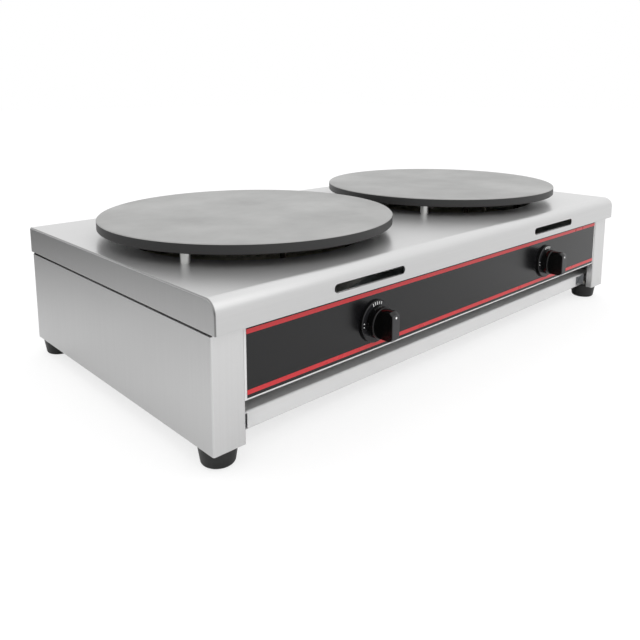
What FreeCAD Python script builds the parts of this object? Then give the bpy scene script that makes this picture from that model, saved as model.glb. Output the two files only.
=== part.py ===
import FreeCAD, Part
import math
import os

# Two-plate countertop crepe maker. Millimetres, X to the right, Y to the back, Z up.
# The origin lies on the table top, under the middle of the machine.

# Hot plates, which set the size of the casing
plate_radius = 200.0
plate_gap = 36.0
plate_side_margin = 14.0
plate_end_margin = 30.5
plate_thickness = 12.6
plate_lift = 14.7
plate_edge_chamfer = 1.0

# Casing
cover_top = 184.0
cover_sheet = 1.5
cover_skirt = 35.0
cover_roll = 15.0
cover_back_bend = 3.0
cover_side_bend = 2.0
panel_sheet = 1.2
panel_bend = 1.0
panel_bottom = 22.0
side_inset = 1.0
reveal_gap = 3.3
shoulder_depth = 12.0
rest_flange = 14.0
bottom_flange = 32.0
post_recess = 9.5
post_width = 40.0
post_lip = 11.0
back_inset = 2.5
back_return = 18.0
sheet_gap = 0.3

# Slots in the front skirt of the cover
slot_length = 120.0
slot_height = 10.5
slot_drop = 21.7
slot_inset = 2.5

# Fascia with its printed film
film_recess = 1.5
film = 0.4
stripe = 0.15
film_margin = 3.0
film_hidden = 3.0
fascia_bottom = 66.5
fascia_fold = 14.0
fascia_hidden = 4.0
lower_stripe_bottom = 73.2
upper_stripe_bottom = 137.6
stripe_height = 5.0

# Front rail and its corner brackets
rail_recess = 22.0
rail_height = 21.0
rail_ledge = 30.0
rail_drop = 12.0
rail_face_inset = 58.0
rail_lip = 16.0
bracket_recess = 8.0
bracket_edge_inset = 28.0
bracket_overlap = 25.0

# Legs of the plates
full_turn = 360.0
leg_radius = 6.5
leg_inset = 19.0
leg_angles = (90.0, 210.0, 330.0)
leg_bolt_radius = 3.0
leg_bolt_grip = 8.0
leg_bolt_head_flats = 10.0
leg_bolt_head = 4.0
washer_radius = 6.0
washer_thickness = 1.5
thread_clearance = 0.05
hole_clearance = 0.3

# Heating element under each plate
element_radius = 4.25
element_inset = 60.0
element_ring_pitch = 30.0
element_ring_count = 4
element_gap_angle = 300.0
element_half_gap = 14.0
element_bend = 12.0
tail_end = 119.0
terminal_radius = 2.0
terminal_length = 7.0
clamp_thickness = 2.5
clamp_width = 22.0
clamp_beyond_element = 10.0
clamp_bolt_radius = 4.0
clamp_bolt_grip = 9.0
clamp_bolt_head = 5.0
clamp_bolt_flats = 13.0
clamp_boss_radius = 12.0

# Heat shield bowl below the cover
opening_land = 16.0
bowl_wall_gap = 3.0
bowl_flange_land = 5.0
bowl_sheet = 1.0
bowl_floor = 131.0
pad_wall_gap = 8.0
pad_thickness = 12.0
tail_clearance = 2.5

# Controls
left_knob_offset = 21.0
right_knob_offset = -6.0
knob_z = 104.5
bezel_radius = 26.0
bezel_thickness = 4.0
bezel_bore = 8.0
bezel_edge = 1.0
knob_gap = 0.4
skirt_radius = 19.5
skirt_front = 14.6
skirt_edge = 1.5
grip_edge = 1.2
grip_width = 13.0
grip_radius = 18.6
grip_bevel_start = 28.5
grip_front_radius = 14.8
knob_front = 33.5
hub_depth = 14.0
dot_radius = 1.4
dot_height = 11.8
dot_thickness = 0.3
mark_thickness = 0.15
mark_count = 5
mark_length = 3.6
mark_width = 1.0
mark_step = 9.0
mark_radius = 22.9
full_mark_count = 2
full_mark_length = 1.6
full_mark_step = 11.0
shaft_radius = 3.0
shaft_flat = 0.8
shaft_inside = 12.0
running_clearance = 0.05
shaft_hole = 5.0
thermostat_plate = 1.5
thermostat_plate_width = 40.0
thermostat_plate_height = 22.0
thermostat_radius = 18.0
thermostat_depth = 30.0
spade_width = 6.3
spade_thickness = 0.8
spade_length = 9.0
spade_half_pitch = 9.0
screw_half_pitch = 14.0
small_screw_radius = 2.0
small_screw_head = 3.6
small_screw_head_height = 2.0
small_screw_grip = 3.0
bulb_radius = 2.5
bulb_length = 50.0
capillary_radius = 0.8
capillary_bend = 6.0
capillary_entry = 12.0
cutout_radius = 8.0
cutout_height = 9.0
cutout_place = 45.0
cutout_blade = 6.0
cutout_half_pitch = 4.0

# Feet
foot_side_inset = 22.0
foot_front_inset = 25.0
foot_back_inset = 22.0
foot_top_radius = 21.5
foot_low_radius = 18.0
foot_edge = 4.0
foot_recess_radius = 7.0
foot_recess = 12.0
foot_screw_radius = 2.5
foot_screw_head = 4.5
foot_screw_head_height = 3.0
foot_nut_flats = 8.0
foot_nut_height = 4.0
foot_screw_spare = 2.0

# Back and base
base_front_flange = 15.0
base_back_flange = 12.0
back_panel_margin = 2.0
vent_count = 9
vent_width = 4.0
vent_height = 36.0
vent_step = 12.0
vent_z = 104.0
base_vent_y = 120.0
back_panel_top_gap = 8.0
gland_side_inset = 101.0
gland_z = 62.0
gland_bore = 4.5
gland_body = 10.0
gland_thread = 8.0
gland_nut_flats = 22.0
gland_nut = 8.0
gland_lock_nut_height = 5.0
gland_inside = 12.0
gland_outside = 25.0
bonding_step = 55.0
bonding_radius = 3.0
bonding_core_radius = 4.0
bonding_outside = 14.0
bonding_inside = 10.0
bonding_nut_flats = 13.0
bonding_nut = 5.0
block_way_count = 5
block_width = 24.0
block_height = 20.0
block_y = 176.0
block_step = 14.0
block_screw_radius = 2.4
block_way_radius = 2.6
lead_radius = 1.6
lead_bend = 9.0
lead_drop = 6.0
lead_step = 10.0
lead_rail_gap = 19.0
lead_link_y = -100.0
lead_return_y = 20.0
rivet_radius = 1.6
rivet_head = 3.0
rivet_head_height = 1.0
base_screw_half_pitch = 115.0
stud_half_pitch = 153.5
stud_radius = 2.0
stud_length = 10.0
stud_nut_flats = 7.0
stud_nut = 3.2

# Places that follow from the sizes above
plate_half_pitch = plate_radius + plate_gap / 2
cover_half = plate_half_pitch + plate_radius + plate_side_margin
cover_back = plate_radius + plate_end_margin
cover_front = -cover_back
cover_under = cover_top - cover_sheet
skirt_bottom = cover_top - cover_skirt
shoulder = skirt_bottom - reveal_gap
slot_half_pitch = plate_half_pitch - slot_inset
left_knob_x = -plate_half_pitch + left_knob_offset
right_knob_x = plate_half_pitch + right_knob_offset
side_outer = cover_half - side_inset
side_inner = side_outer - panel_sheet
post_front = cover_front + post_recess
post_inner = side_outer - post_width
film_front = post_front + film_recess
fascia_front = film_front + film
fascia_back = fascia_front + panel_sheet
fascia_top = skirt_bottom + fascia_hidden
rail_front = post_front + rail_recess
rail_top = panel_bottom + rail_height
rail_back = rail_front + rail_ledge
rail_face_half = side_outer - rail_face_inset
bracket_edge = side_outer - bracket_edge_inset
back_outer = cover_back - back_inset
back_face = back_outer - panel_sheet
floor_top = panel_bottom + panel_sheet
base_top = floor_top + panel_sheet
foot_x = side_outer - foot_side_inset
front_foot_y = post_front + foot_front_inset
back_foot_y = back_outer - foot_back_inset
leg_circle = plate_radius - leg_inset
cover_opening = leg_circle - opening_land
bowl_wall = cover_opening + bowl_wall_gap
bowl_flange = leg_circle + bowl_flange_land
pad_radius = bowl_wall - pad_wall_gap
plate_under = cover_top + plate_lift
element_outer = plate_radius - element_inset
element_rings = [element_outer - ring * element_ring_pitch for ring in range(element_ring_count)]
element_start = element_gap_angle + element_half_gap - full_turn
element_end = element_gap_angle - element_half_gap
bulb_circle = element_outer - element_ring_pitch / 2
clamp_reach = element_outer + clamp_beyond_element
element_z = plate_under - element_radius
clamp_top = plate_under - 2 * element_radius
clamp_under = clamp_top - clamp_thickness
gland_x = -(side_outer - gland_side_inset)
bonding_x = gland_x + bonding_step
lead_front_y = rail_back + lead_rail_gap


def point(x, y, z):
    return FreeCAD.Vector(x, y, z)


AXIS_X = point(1, 0, 0)
AXIS_Y = point(0, 1, 0)
AXIS_Z = point(0, 0, 1)


def block(x0, x1, y0, y1, z0, z1):
    return Part.makeBox(x1 - x0, y1 - y0, z1 - z0, point(x0, y0, z0))


def rod(x, y, z, radius, length, axis=AXIS_Z):
    return Part.makeCylinder(radius, length, point(x, y, z), axis)


def hexagon(x, y, z, flats, length, axis=AXIS_Z):
    """Six-sided prism that starts at a point and runs along an axis."""
    corner = flats / math.sqrt(3)
    outline = []
    for step in range(7):
        turn = math.radians(60 * step)
        outline.append(point(corner * math.cos(turn), corner * math.sin(turn), 0))
    prism = Part.Face(Part.makePolygon(outline)).extrude(AXIS_Z * length)
    prism.Placement = FreeCAD.Placement(point(x, y, z), FreeCAD.Rotation(AXIS_Z, axis))
    return prism


def join(shapes):
    return shapes[0].multiFuse(shapes[1:]).removeSplitter() if len(shapes) > 1 else shapes[0]


def mirrored(shape):
    return shape.mirror(point(0, 0, 0), AXIS_X)


def around(x, y, radius, degrees):
    turn = math.radians(degrees)
    return x + radius * math.cos(turn), y + radius * math.sin(turn)


def revolved(outline, centre, axis):
    """Solid of revolution from (radius, height) points, heights along the axis."""
    corners = [point(radius, 0, height) for radius, height in outline]
    face = Part.Face(Part.makePolygon(corners + corners[:1]))
    solid = face.revolve(point(0, 0, 0), AXIS_Z, full_turn)
    solid.Placement = FreeCAD.Placement(centre, FreeCAD.Rotation(AXIS_Z, axis))
    return solid


def ring_edges(shape, radius):
    """Circular edges of one radius."""
    return [edge for edge in shape.Edges
            if isinstance(edge.Curve, Part.Circle) and abs(edge.Curve.Radius - radius) < 0.001]


def left_normal(start, end):
    run = math.hypot(end[0] - start[0], end[1] - start[1])
    return -(end[1] - start[1]) / run, (end[0] - start[0]) / run


def shifted(path, distance):
    """The same open path, moved sideways to its left by a distance."""
    moved = []
    for index, (u, v) in enumerate(path):
        sides = []
        if index > 0:
            sides.append(left_normal(path[index - 1], path[index]))
        if index < len(path) - 1:
            sides.append(left_normal(path[index], path[index + 1]))
        total_u = sum(side[0] for side in sides)
        total_v = sum(side[1] for side in sides)
        share = distance * len(sides) / (total_u ** 2 + total_v ** 2)
        moved.append((u + share * total_u, v + share * total_v))
    return moved


def bent_edges(path, left_radius, right_radius, place):
    """Lines along a path with an arc at each corner, of one radius for each way of turning."""
    edges = []
    start = path[0]
    for before, corner, after in zip(path, path[1:], path[2:]):
        in_u, in_v = left_normal(before, corner)
        out_u, out_v = left_normal(corner, after)
        turn = math.atan2(in_u * out_v - in_v * out_u, in_u * out_u + in_v * out_v)
        radius = left_radius if turn > 0 else right_radius
        reach = radius * math.tan(abs(turn) / 2)
        arc_start = (corner[0] - in_v * reach, corner[1] + in_u * reach)
        arc_end = (corner[0] + out_v * reach, corner[1] - out_u * reach)
        inward_u = in_u + out_u if turn > 0 else -in_u - out_u
        inward_v = in_v + out_v if turn > 0 else -in_v - out_v
        depth = radius * (1 / math.cos(turn / 2) - 1) / math.hypot(inward_u, inward_v)
        middle = (corner[0] + inward_u * depth, corner[1] + inward_v * depth)
        edges.append(Part.makeLine(place(*start), place(*arc_start)))
        edges.append(Part.Arc(place(*arc_start), place(*middle), place(*arc_end)).toShape())
        start = arc_end
    edges.append(Part.makeLine(place(*start), place(*path[-1])))
    return edges


def folded(path, thickness, bend, place, extrusion):
    """Sheet folded along a path; a positive thickness lies to the left of the path."""
    inner = shifted(path, thickness)
    wide = bend + abs(thickness)
    left_first, right_first = (wide, bend) if thickness > 0 else (bend, wide)
    first = bent_edges(path, left_first, right_first, place)
    second = bent_edges(inner, right_first, left_first, place)
    caps = [Part.makeLine(place(*path[0]), place(*inner[0])),
            Part.makeLine(place(*path[-1]), place(*inner[-1]))]
    outline = Part.Wire(Part.__sortEdges__(first + second + caps))
    return Part.Face(outline).extrude(extrusion)


def in_plan(height):
    return lambda u, v: point(u, v, height)


def across(x):
    return lambda u, v: point(x, u, v)


def tube(points, radius, bend):
    """Round bar along straight runs joined by tangent arcs."""
    edges = []
    start = points[0]
    for before, corner, after in zip(points, points[1:], points[2:]):
        into = (corner - before).normalize()
        out = (after - corner).normalize()
        turn = into.getAngle(out)
        reach = bend * math.tan(turn / 2)
        arc_start = corner - into * reach
        arc_end = corner + out * reach
        inward = (out - into).normalize()
        middle = corner + inward * (bend / math.cos(turn / 2) - bend)
        edges.append(Part.makeLine(start, arc_start))
        edges.append(Part.Arc(arc_start, middle, arc_end).toShape())
        start = arc_end
    edges.append(Part.makeLine(start, points[-1]))
    return swept(edges, radius, (points[1] - points[0]).normalize())


def swept(edges, radius, direction):
    path = Part.Wire(Part.__sortEdges__(edges))
    ring = Part.Wire(Part.makeCircle(radius, edges[0].Vertexes[0].Point, direction))
    return path.makePipeShell([ring], True, False)


def leg_places(x):
    return [around(x, 0, leg_circle, angle) for angle in leg_angles]


def plate_centres():
    return (("left", -plate_half_pitch), ("right", plate_half_pitch))


def knob_places():
    return (("left", left_knob_x), ("right", right_knob_x))


def slot_cut(x):
    """Round-ended cutter through the front skirt."""
    z = cover_top - slot_drop
    half = slot_length / 2 - slot_height / 2
    depth = cover_roll
    start = cover_front - sheet_gap
    return join([
        block(x - half, x + half, start, start + depth, z - slot_height / 2, z + slot_height / 2),
        rod(x - half, start, z, slot_height / 2, depth, AXIS_Y),
        rod(x + half, start, z, slot_height / 2, depth, AXIS_Y)])


def cover_shell(half_width, front, back, top, bottom, roll, back_bend, side_bend):
    """Block with the cover's side outline: a wide front roll and a tight back bend."""
    slope = 1 - math.sqrt(0.5)
    edges = [
        Part.makeLine(point(-half_width, back, bottom), point(-half_width, back, top - back_bend)),
        Part.Arc(point(-half_width, back, top - back_bend),
                 point(-half_width, back - back_bend * slope, top - back_bend * slope),
                 point(-half_width, back - back_bend, top)).toShape(),
        Part.makeLine(point(-half_width, back - back_bend, top), point(-half_width, front + roll, top)),
        Part.Arc(point(-half_width, front + roll, top),
                 point(-half_width, front + roll * slope, top - roll * slope),
                 point(-half_width, front, top - roll)).toShape(),
        Part.makeLine(point(-half_width, front, top - roll), point(-half_width, front, bottom)),
        Part.makeLine(point(-half_width, front, bottom), point(-half_width, back, bottom))]
    shell = Part.Face(Part.Wire(edges)).extrude(AXIS_X * (2 * half_width))
    side_edges = [edge for edge in shell.Edges
                  if edge.BoundBox.XLength < side_bend and edge.BoundBox.ZMax > bottom + side_bend]
    return shell.makeFillet(side_bend, side_edges)


def top_cover():
    """Top sheet with skirts, the rolled front edge, two round openings and two slots."""
    shell = cover_shell(cover_half, cover_front, cover_back, cover_top, skirt_bottom,
                        cover_roll, cover_back_bend, cover_side_bend)
    hollow = cover_shell(cover_half - cover_sheet, cover_front + cover_sheet,
                         cover_back - cover_sheet, cover_under, skirt_bottom - cover_sheet,
                         cover_roll - cover_sheet, cover_back_bend - cover_sheet,
                         cover_side_bend - cover_sheet)
    cuts = [hollow]
    for side, x in plate_centres():
        cuts.append(rod(x, 0, cover_under - cover_sheet, cover_opening, 3 * cover_sheet))
        for leg_x, leg_y in leg_places(x):
            radius = leg_bolt_radius + hole_clearance
            cuts.append(rod(leg_x, leg_y, cover_under - cover_sheet, radius, 3 * cover_sheet))
    cuts.append(slot_cut(-slot_half_pitch))
    cuts.append(slot_cut(slot_half_pitch))
    return shell.cut(cuts)


def stud_places():
    """Welded studs under the cover, above the rest flanges of the side panels."""
    x = side_outer - shoulder_depth - rest_flange / 2
    return [(side * x, end * stud_half_pitch) for side in (-1, 1) for end in (-1, 1)]


def side_panel():
    """Right side panel: wall, front post with its lip, back return, shoulder and flanges."""
    plan = [(side_outer - back_return, back_face), (side_outer, back_face),
            (side_outer, post_front), (post_inner, post_front), (post_inner, post_front + post_lip)]
    wall = folded(plan, -panel_sheet, panel_bend, in_plan(panel_bottom),
                  AXIS_Z * (shoulder - panel_bottom))
    start = post_front + panel_sheet + panel_bend
    end = back_face - panel_sheet - panel_bend
    upstand = side_outer - shoulder_depth
    outer_bend = panel_bend + panel_sheet
    behind_roll = cover_front + cover_roll
    ledge = block(upstand - panel_sheet, side_inner, start, end, shoulder - panel_sheet, shoulder)
    riser = block(upstand - panel_sheet, upstand, behind_roll, end, shoulder - panel_sheet, cover_under)
    rest = block(upstand - rest_flange, upstand, behind_roll, end, cover_under - panel_sheet, cover_under)
    post_top = block(post_inner, side_outer - outer_bend, post_front, post_front + panel_sheet,
                     shoulder, cover_under - cover_roll)
    foot_flange = block(side_outer - bottom_flange, side_inner, start, end, panel_bottom, floor_top)
    panel = join([wall, ledge, riser, rest, post_top, foot_flange])
    cuts = []
    for y in (front_foot_y, back_foot_y):
        cuts.append(rod(foot_x, y, panel_bottom - 1, foot_screw_radius + hole_clearance, 3))
    for x, y in stud_places():
        cuts.append(rod(x, y, cover_under - 2 * panel_sheet, stud_radius + hole_clearance, 3))
    for x, y in base_screw_places()[2:]:
        cuts.append(rod(x, y, panel_bottom - 1, small_screw_radius + hole_clearance, 3))
    for x, z in back_screw_places():
        cuts.append(rod(x, back_face - 2, z, small_screw_radius + thread_clearance, 4, AXIS_Y))
    for z in rivet_heights():
        cuts.append(rod(post_inner - 1, rivet_y(), z, rivet_radius + thread_clearance, 4, AXIS_X))
    return panel.cut(cuts)


def front_rail():
    """Folded channel under the open gap: face, top ledge to both sides, rear drop and lip."""
    half = side_inner - sheet_gap
    path = [(rail_front + rail_lip, panel_bottom), (rail_front, panel_bottom),
            (rail_front, rail_top), (rail_back, rail_top), (rail_back, rail_top - rail_drop)]
    channel = folded(path, -panel_sheet, panel_bend, across(-half), AXIS_X * (2 * half))
    under_ledge = rail_top - panel_sheet - panel_bend
    lip_half = side_outer - bottom_flange - sheet_gap
    cuts = []
    for side in (-1, 1):
        face_ends = sorted((side * rail_face_half, side * cover_half))
        lip_ends = sorted((side * lip_half, side * cover_half))
        cuts.append(block(*face_ends, rail_front - 1, rail_front + rail_lip + 1, floor_top, under_ledge))
        cuts.append(block(*lip_ends, rail_front - 1, rail_front + rail_lip + 1,
                          panel_bottom - 1, floor_top))
    return channel.cut(cuts)


def corner_bracket():
    """Right corner bracket behind the end of the rail, with a lip towards the front."""
    y = rail_front + bracket_recess
    path = [(rail_face_half - bracket_overlap, y), (bracket_edge, y), (bracket_edge, rail_front)]
    height = rail_top - panel_sheet - panel_bend - floor_top
    lip_half = side_outer - bottom_flange - sheet_gap
    bracket = folded(path, panel_sheet, panel_bend, in_plan(floor_top), AXIS_Z * height)
    toe = block(rail_face_half - bracket_overlap, lip_half, y + panel_sheet,
                rail_front + rail_lip - 1, floor_top, base_top)
    return join([bracket, toe])


def fascia_panel():
    """Flat front plate between the posts, folded back below; its top ends lower than the slots."""
    half = post_inner - sheet_gap
    path = [(fascia_front + fascia_fold, fascia_bottom), (fascia_front, fascia_bottom),
            (fascia_front, fascia_top)]
    plate = folded(path, -panel_sheet, panel_bend, across(-half), AXIS_X * (2 * half))
    inner_bottom = fascia_bottom + panel_sheet + sheet_gap
    tab_end = post_front + post_lip
    tabs = []
    cuts = []
    for side in (-1, 1):
        ends = sorted((side * half, side * (half - panel_sheet)))
        tabs.append(block(*ends, fascia_back, tab_end, inner_bottom, fascia_top))
        for z in rivet_heights():
            outward = AXIS_X * side
            cuts.append(rod(side * (half - 2 * panel_sheet), rivet_y(), z,
                            rivet_radius + thread_clearance, 3 * panel_sheet, outward))
    for side, x in knob_places():
        cuts.append(rod(x, fascia_front - 1, knob_z, shaft_hole, 3, AXIS_Y))
        for screw_x in (x - screw_half_pitch, x + screw_half_pitch):
            radius = small_screw_radius + hole_clearance
            cuts.append(rod(screw_x, fascia_front - 1, knob_z, radius, 3, AXIS_Y))
    return join([plate] + tabs).cut(cuts)


def rivet_y():
    return (fascia_back + post_front + post_lip) / 2


def rivet_heights():
    return (fascia_bottom + fascia_fold, skirt_bottom - fascia_fold)


def film_outline(side):
    """Edge of the film, set in from the fascia's bare margin."""
    return side * (post_inner - sheet_gap - film_margin)


def fascia_overlay():
    film_sheet = block(film_outline(-1), film_outline(1), film_front, fascia_front,
                       fascia_bottom + film_margin, skirt_bottom + film_hidden)
    cuts = []
    for side, x in knob_places():
        cuts.append(rod(x, film_front - 1, knob_z, bezel_radius + thread_clearance, 3, AXIS_Y))
    return film_sheet.cut(cuts)


def overlay_stripes():
    """Two printed stripes, a thin layer on the film, stopped at the bezels."""
    stripes = []
    bezels = [rod(x, film_front - 1, knob_z, bezel_radius + thread_clearance, 3, AXIS_Y)
              for side, x in knob_places()]
    for z in (lower_stripe_bottom, upper_stripe_bottom):
        layer = block(film_outline(-1), film_outline(1), film_front - stripe, film_front,
                      z, z + stripe_height)
        stripes.append(layer.cut(bezels))
    return Part.makeCompound(stripes)


def bezel(x):
    """Dial ring seated on the fascia through the film."""
    front = fascia_front - film_front + bezel_thickness
    ring = revolved([(bezel_bore, 0), (bezel_radius, 0), (bezel_radius, front - bezel_edge),
                     (bezel_radius - bezel_edge, front), (bezel_bore, front)],
                    point(x, fascia_front, knob_z), -AXIS_Y)
    return ring


def dial_mark(x, degrees, length):
    """Small stroke printed on the bezel at an angle round its centre."""
    front = film_front - bezel_thickness
    stroke = block(mark_radius - length / 2, mark_radius + length / 2, front - mark_thickness, front,
                   -mark_width / 2, mark_width / 2)
    stroke.rotate(point(0, 0, 0), AXIS_Y, -degrees)
    stroke.translate(point(x, 0, knob_z))
    return stroke


def mark_row(x, degrees, count, step, length):
    """Strokes side by side, a step in degrees apart, about an angle on the bezel."""
    return [dial_mark(x, degrees + (index - (count - 1) / 2) * step, length)
            for index in range(count)]


def dial_marks():
    """Strokes above for the off position, and short ones on the left for the highest setting."""
    marks = []
    for side, x in knob_places():
        marks += mark_row(x, 90, mark_count, mark_step, mark_length)
        marks += mark_row(x, 180, full_mark_count, full_mark_step, full_mark_length)
    return Part.makeCompound(marks)


def knob(x):
    """Knob with a round skirt and a flat-sided grip, bored for the shaft."""
    back = bezel_thickness + knob_gap
    skirt = revolved([(0, back), (skirt_radius, back), (skirt_radius, skirt_front), (0, skirt_front)],
                     point(x, film_front, knob_z), -AXIS_Y)
    front_edge = [edge for edge in ring_edges(skirt, skirt_radius)
                  if edge.Curve.Center.y < film_front - back - 1]
    skirt = skirt.makeFillet(skirt_edge, front_edge)
    body = revolved([(0, back), (grip_radius, back), (grip_radius, grip_bevel_start),
                     (grip_front_radius, knob_front), (0, knob_front)],
                    point(x, film_front, knob_z), -AXIS_Y)
    slab = block(x - grip_width / 2, x + grip_width / 2, film_front - knob_front, film_front,
                 knob_z - grip_radius, knob_z + grip_radius)
    hub = shaft_section(x, film_front - back - hub_depth, film_front, running_clearance)
    dot = rod(x, film_front - knob_front, knob_z + dot_height, dot_radius, dot_thickness, AXIS_Y)
    grip = body.common(slab)
    grip = grip.makeFillet(grip_edge, [edge for edge in grip.Edges
                                       if edge.BoundBox.YMax < film_front - skirt_front])
    return join([skirt, grip]).cut([hub, dot])


def shaft_section(x, front, back, clearance):
    """Round bar with one flat, from front to back."""
    bar = rod(x, front, knob_z, shaft_radius + clearance, back - front, AXIS_Y)
    flat_z = knob_z + shaft_radius - shaft_flat + clearance
    flat = block(x - 2 * shaft_radius, x + 2 * shaft_radius, front, back, flat_z, flat_z + shaft_radius)
    return bar.cut(flat)


def knob_pointer(x):
    return rod(x, film_front - knob_front, knob_z + dot_height, dot_radius - thread_clearance,
               dot_thickness, AXIS_Y)


def thermostat_shaft(x):
    """Control shaft: flatted in the knob, round where it turns in the thermostat."""
    front = film_front - bezel_thickness - knob_gap - hub_depth + sheet_gap
    flatted = shaft_section(x, front, film_front - bezel_thickness, 0)
    round_part = rod(x, film_front - bezel_thickness, knob_z, shaft_radius,
                     fascia_back + shaft_inside - film_front + bezel_thickness - sheet_gap, AXIS_Y)
    return join([flatted, round_part])


def thermostat(x):
    """Control thermostat with its fixing plate and two spade terminals."""
    plate = block(x - thermostat_plate_width / 2, x + thermostat_plate_width / 2,
                  fascia_back, fascia_back + thermostat_plate,
                  knob_z - thermostat_plate_height / 2, knob_z + thermostat_plate_height / 2)
    case = rod(x, fascia_back + thermostat_plate, knob_z, thermostat_radius, thermostat_depth, AXIS_Y)
    rear = fascia_back + thermostat_plate + thermostat_depth
    parts = [plate, case]
    for spade_x in (x - spade_half_pitch, x + spade_half_pitch):
        parts.append(block(spade_x - spade_thickness / 2, spade_x + spade_thickness / 2, rear,
                           rear + spade_length, knob_z - spade_width / 2, knob_z + spade_width / 2))
    cuts = [rod(x, fascia_back - 1, knob_z, shaft_radius + running_clearance, shaft_inside + 1, AXIS_Y)]
    for screw_x in (x - screw_half_pitch, x + screw_half_pitch):
        radius = small_screw_radius + thread_clearance
        cuts.append(rod(screw_x, fascia_back - 1, knob_z, radius,
                        small_screw_grip + 1 + sheet_gap, AXIS_Y))
    return join(parts).cut(cuts)


def thermostat_screws():
    """Two screws for each thermostat, from the front, under the bezel's recesses."""
    length = panel_sheet + small_screw_grip
    return Part.makeCompound([small_screw(x + offset, fascia_front, knob_z, length, AXIS_Y)
                              for side, x in knob_places()
                              for offset in (-screw_half_pitch, screw_half_pitch)])


def bezel_with_recesses(x):
    """The bezel, with pockets at its back for the two screw heads."""
    pockets = []
    for screw_x in (x - screw_half_pitch, x + screw_half_pitch):
        pockets.append(rod(screw_x, fascia_front - small_screw_head_height - sheet_gap, knob_z,
                           small_screw_head + sheet_gap, small_screw_head_height + sheet_gap, AXIS_Y))
    return bezel(x).cut(pockets)


def hot_plate(x):
    """Cast plate with a chamfered rim, a centre boss and blind holes for its bolts."""
    chamfer = plate_edge_chamfer
    disc = revolved([(0, 0), (plate_radius - chamfer, 0), (plate_radius, chamfer),
                     (plate_radius, plate_thickness - chamfer),
                     (plate_radius - chamfer, plate_thickness), (0, plate_thickness)],
                    point(x, 0, plate_under), AXIS_Z)
    boss = rod(x, 0, clamp_top, clamp_boss_radius, plate_under - clamp_top + 1)
    cuts = [rod(x, 0, clamp_top - 1, clamp_bolt_radius + thread_clearance,
                clamp_bolt_grip + 1 + sheet_gap)]
    for leg_x, leg_y in leg_places(x):
        cuts.append(rod(leg_x, leg_y, plate_under - 1, leg_bolt_radius + thread_clearance,
                        leg_bolt_grip + 1 + sheet_gap))
    return join([disc, boss]).cut(cuts)


def plate_legs(x):
    """Three turned spacers between the cover and the plate."""
    legs = []
    for leg_x, leg_y in leg_places(x):
        leg = rod(leg_x, leg_y, cover_top, leg_radius, plate_lift)
        legs.append(leg.cut(rod(leg_x, leg_y, cover_top - 1, leg_bolt_radius + thread_clearance,
                                plate_lift + 2)))
    return Part.makeCompound(legs)


def leg_bolts():
    """Bolts from below through the bowl, the cover and the legs into the plates."""
    bolts = []
    seat = cover_under - bowl_sheet - washer_thickness
    for side, x in plate_centres():
        for leg_x, leg_y in leg_places(x):
            head = hexagon(leg_x, leg_y, seat - leg_bolt_head, leg_bolt_head_flats, leg_bolt_head)
            shank = rod(leg_x, leg_y, seat, leg_bolt_radius, plate_under + leg_bolt_grip - seat)
            bolts.append(join([head, shank]))
    return Part.makeCompound(bolts)


def leg_washers():
    washers = []
    seat = cover_under - bowl_sheet - washer_thickness
    for side, x in plate_centres():
        for leg_x, leg_y in leg_places(x):
            ring = rod(leg_x, leg_y, seat, washer_radius, washer_thickness)
            hole = rod(leg_x, leg_y, seat - 1, leg_bolt_radius + thread_clearance, washer_thickness + 2)
            washers.append(ring.cut(hole))
    return Part.makeCompound(washers)


def ring_arc(x, radius, start, end):
    """Arc in the element's plane, from one angle to another."""
    places = [around(x, 0, radius, angle) for angle in (start, (start + end) / 2, end)]
    corners = [point(px, py, element_z) for px, py in places]
    return Part.Arc(*corners).toShape()


def turn_arc(x, outer, inner, degrees, forward):
    """Half circle that leads from one ring to the next."""
    middle_radius = (outer + inner) / 2
    half = (outer - inner) / 2
    bulge = math.degrees(math.atan2(half, middle_radius)) * forward
    reach = math.hypot(middle_radius, half)
    start = around(x, 0, outer, degrees)
    middle = around(x, 0, reach, degrees + bulge)
    end = around(x, 0, inner, degrees)
    corners = [point(px, py, element_z) for px, py in (start, middle, end)]
    return Part.Arc(*corners).toShape()


def tail_place(x, radius, angle):
    """Where an end of the element turns down, beyond its ring."""
    turn = math.radians(angle)
    start_x, start_y = around(x, 0, radius, angle)
    return start_x + element_bend * math.sin(turn), start_y - element_bend * math.cos(turn)


def tail_places(x):
    return [tail_place(x, radius, element_start) for radius in (element_rings[0], element_rings[-1])]


def tail_edges(x, radius, angle):
    """Quarter turn from the ring's end to straight down, with the straight tail."""
    start_x, start_y = around(x, 0, radius, angle)
    down_x, down_y = tail_place(x, radius, angle)
    share = math.sin(math.radians(45))
    middle = point(start_x + (down_x - start_x) * share, start_y + (down_y - start_y) * share,
                   element_z - element_bend * (1 - share))
    low = point(down_x, down_y, element_z - element_bend)
    return [Part.Arc(point(start_x, start_y, element_z), middle, low).toShape(),
            Part.makeLine(low, point(down_x, down_y, tail_end))]


def heating_element(x):
    """Sheathed heater in four rings, led back and forth, with both ends turned down."""
    edges = tail_edges(x, element_rings[0], element_start)
    first, last = element_start, element_end
    for index, radius in enumerate(element_rings):
        edges.append(ring_arc(x, radius, first, last))
        if index < len(element_rings) - 1:
            forward = 1 if last > first else -1
            edges.append(turn_arc(x, radius, element_rings[index + 1], last, forward))
            first, last = last, first
    edges += tail_edges(x, element_rings[-1], element_start)
    path = Part.Wire(Part.__sortEdges__(edges))
    tail_x, tail_y = tail_place(x, element_rings[0], element_start)
    ring = Part.Wire(Part.makeCircle(element_radius, point(tail_x, tail_y, tail_end), AXIS_Z))
    sheath = path.makePipeShell([ring], True, False)
    pins = [rod(px, py, tail_end - terminal_length, terminal_radius, terminal_length + 2)
            for px, py in tail_places(x)]
    return join([sheath] + pins)


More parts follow.
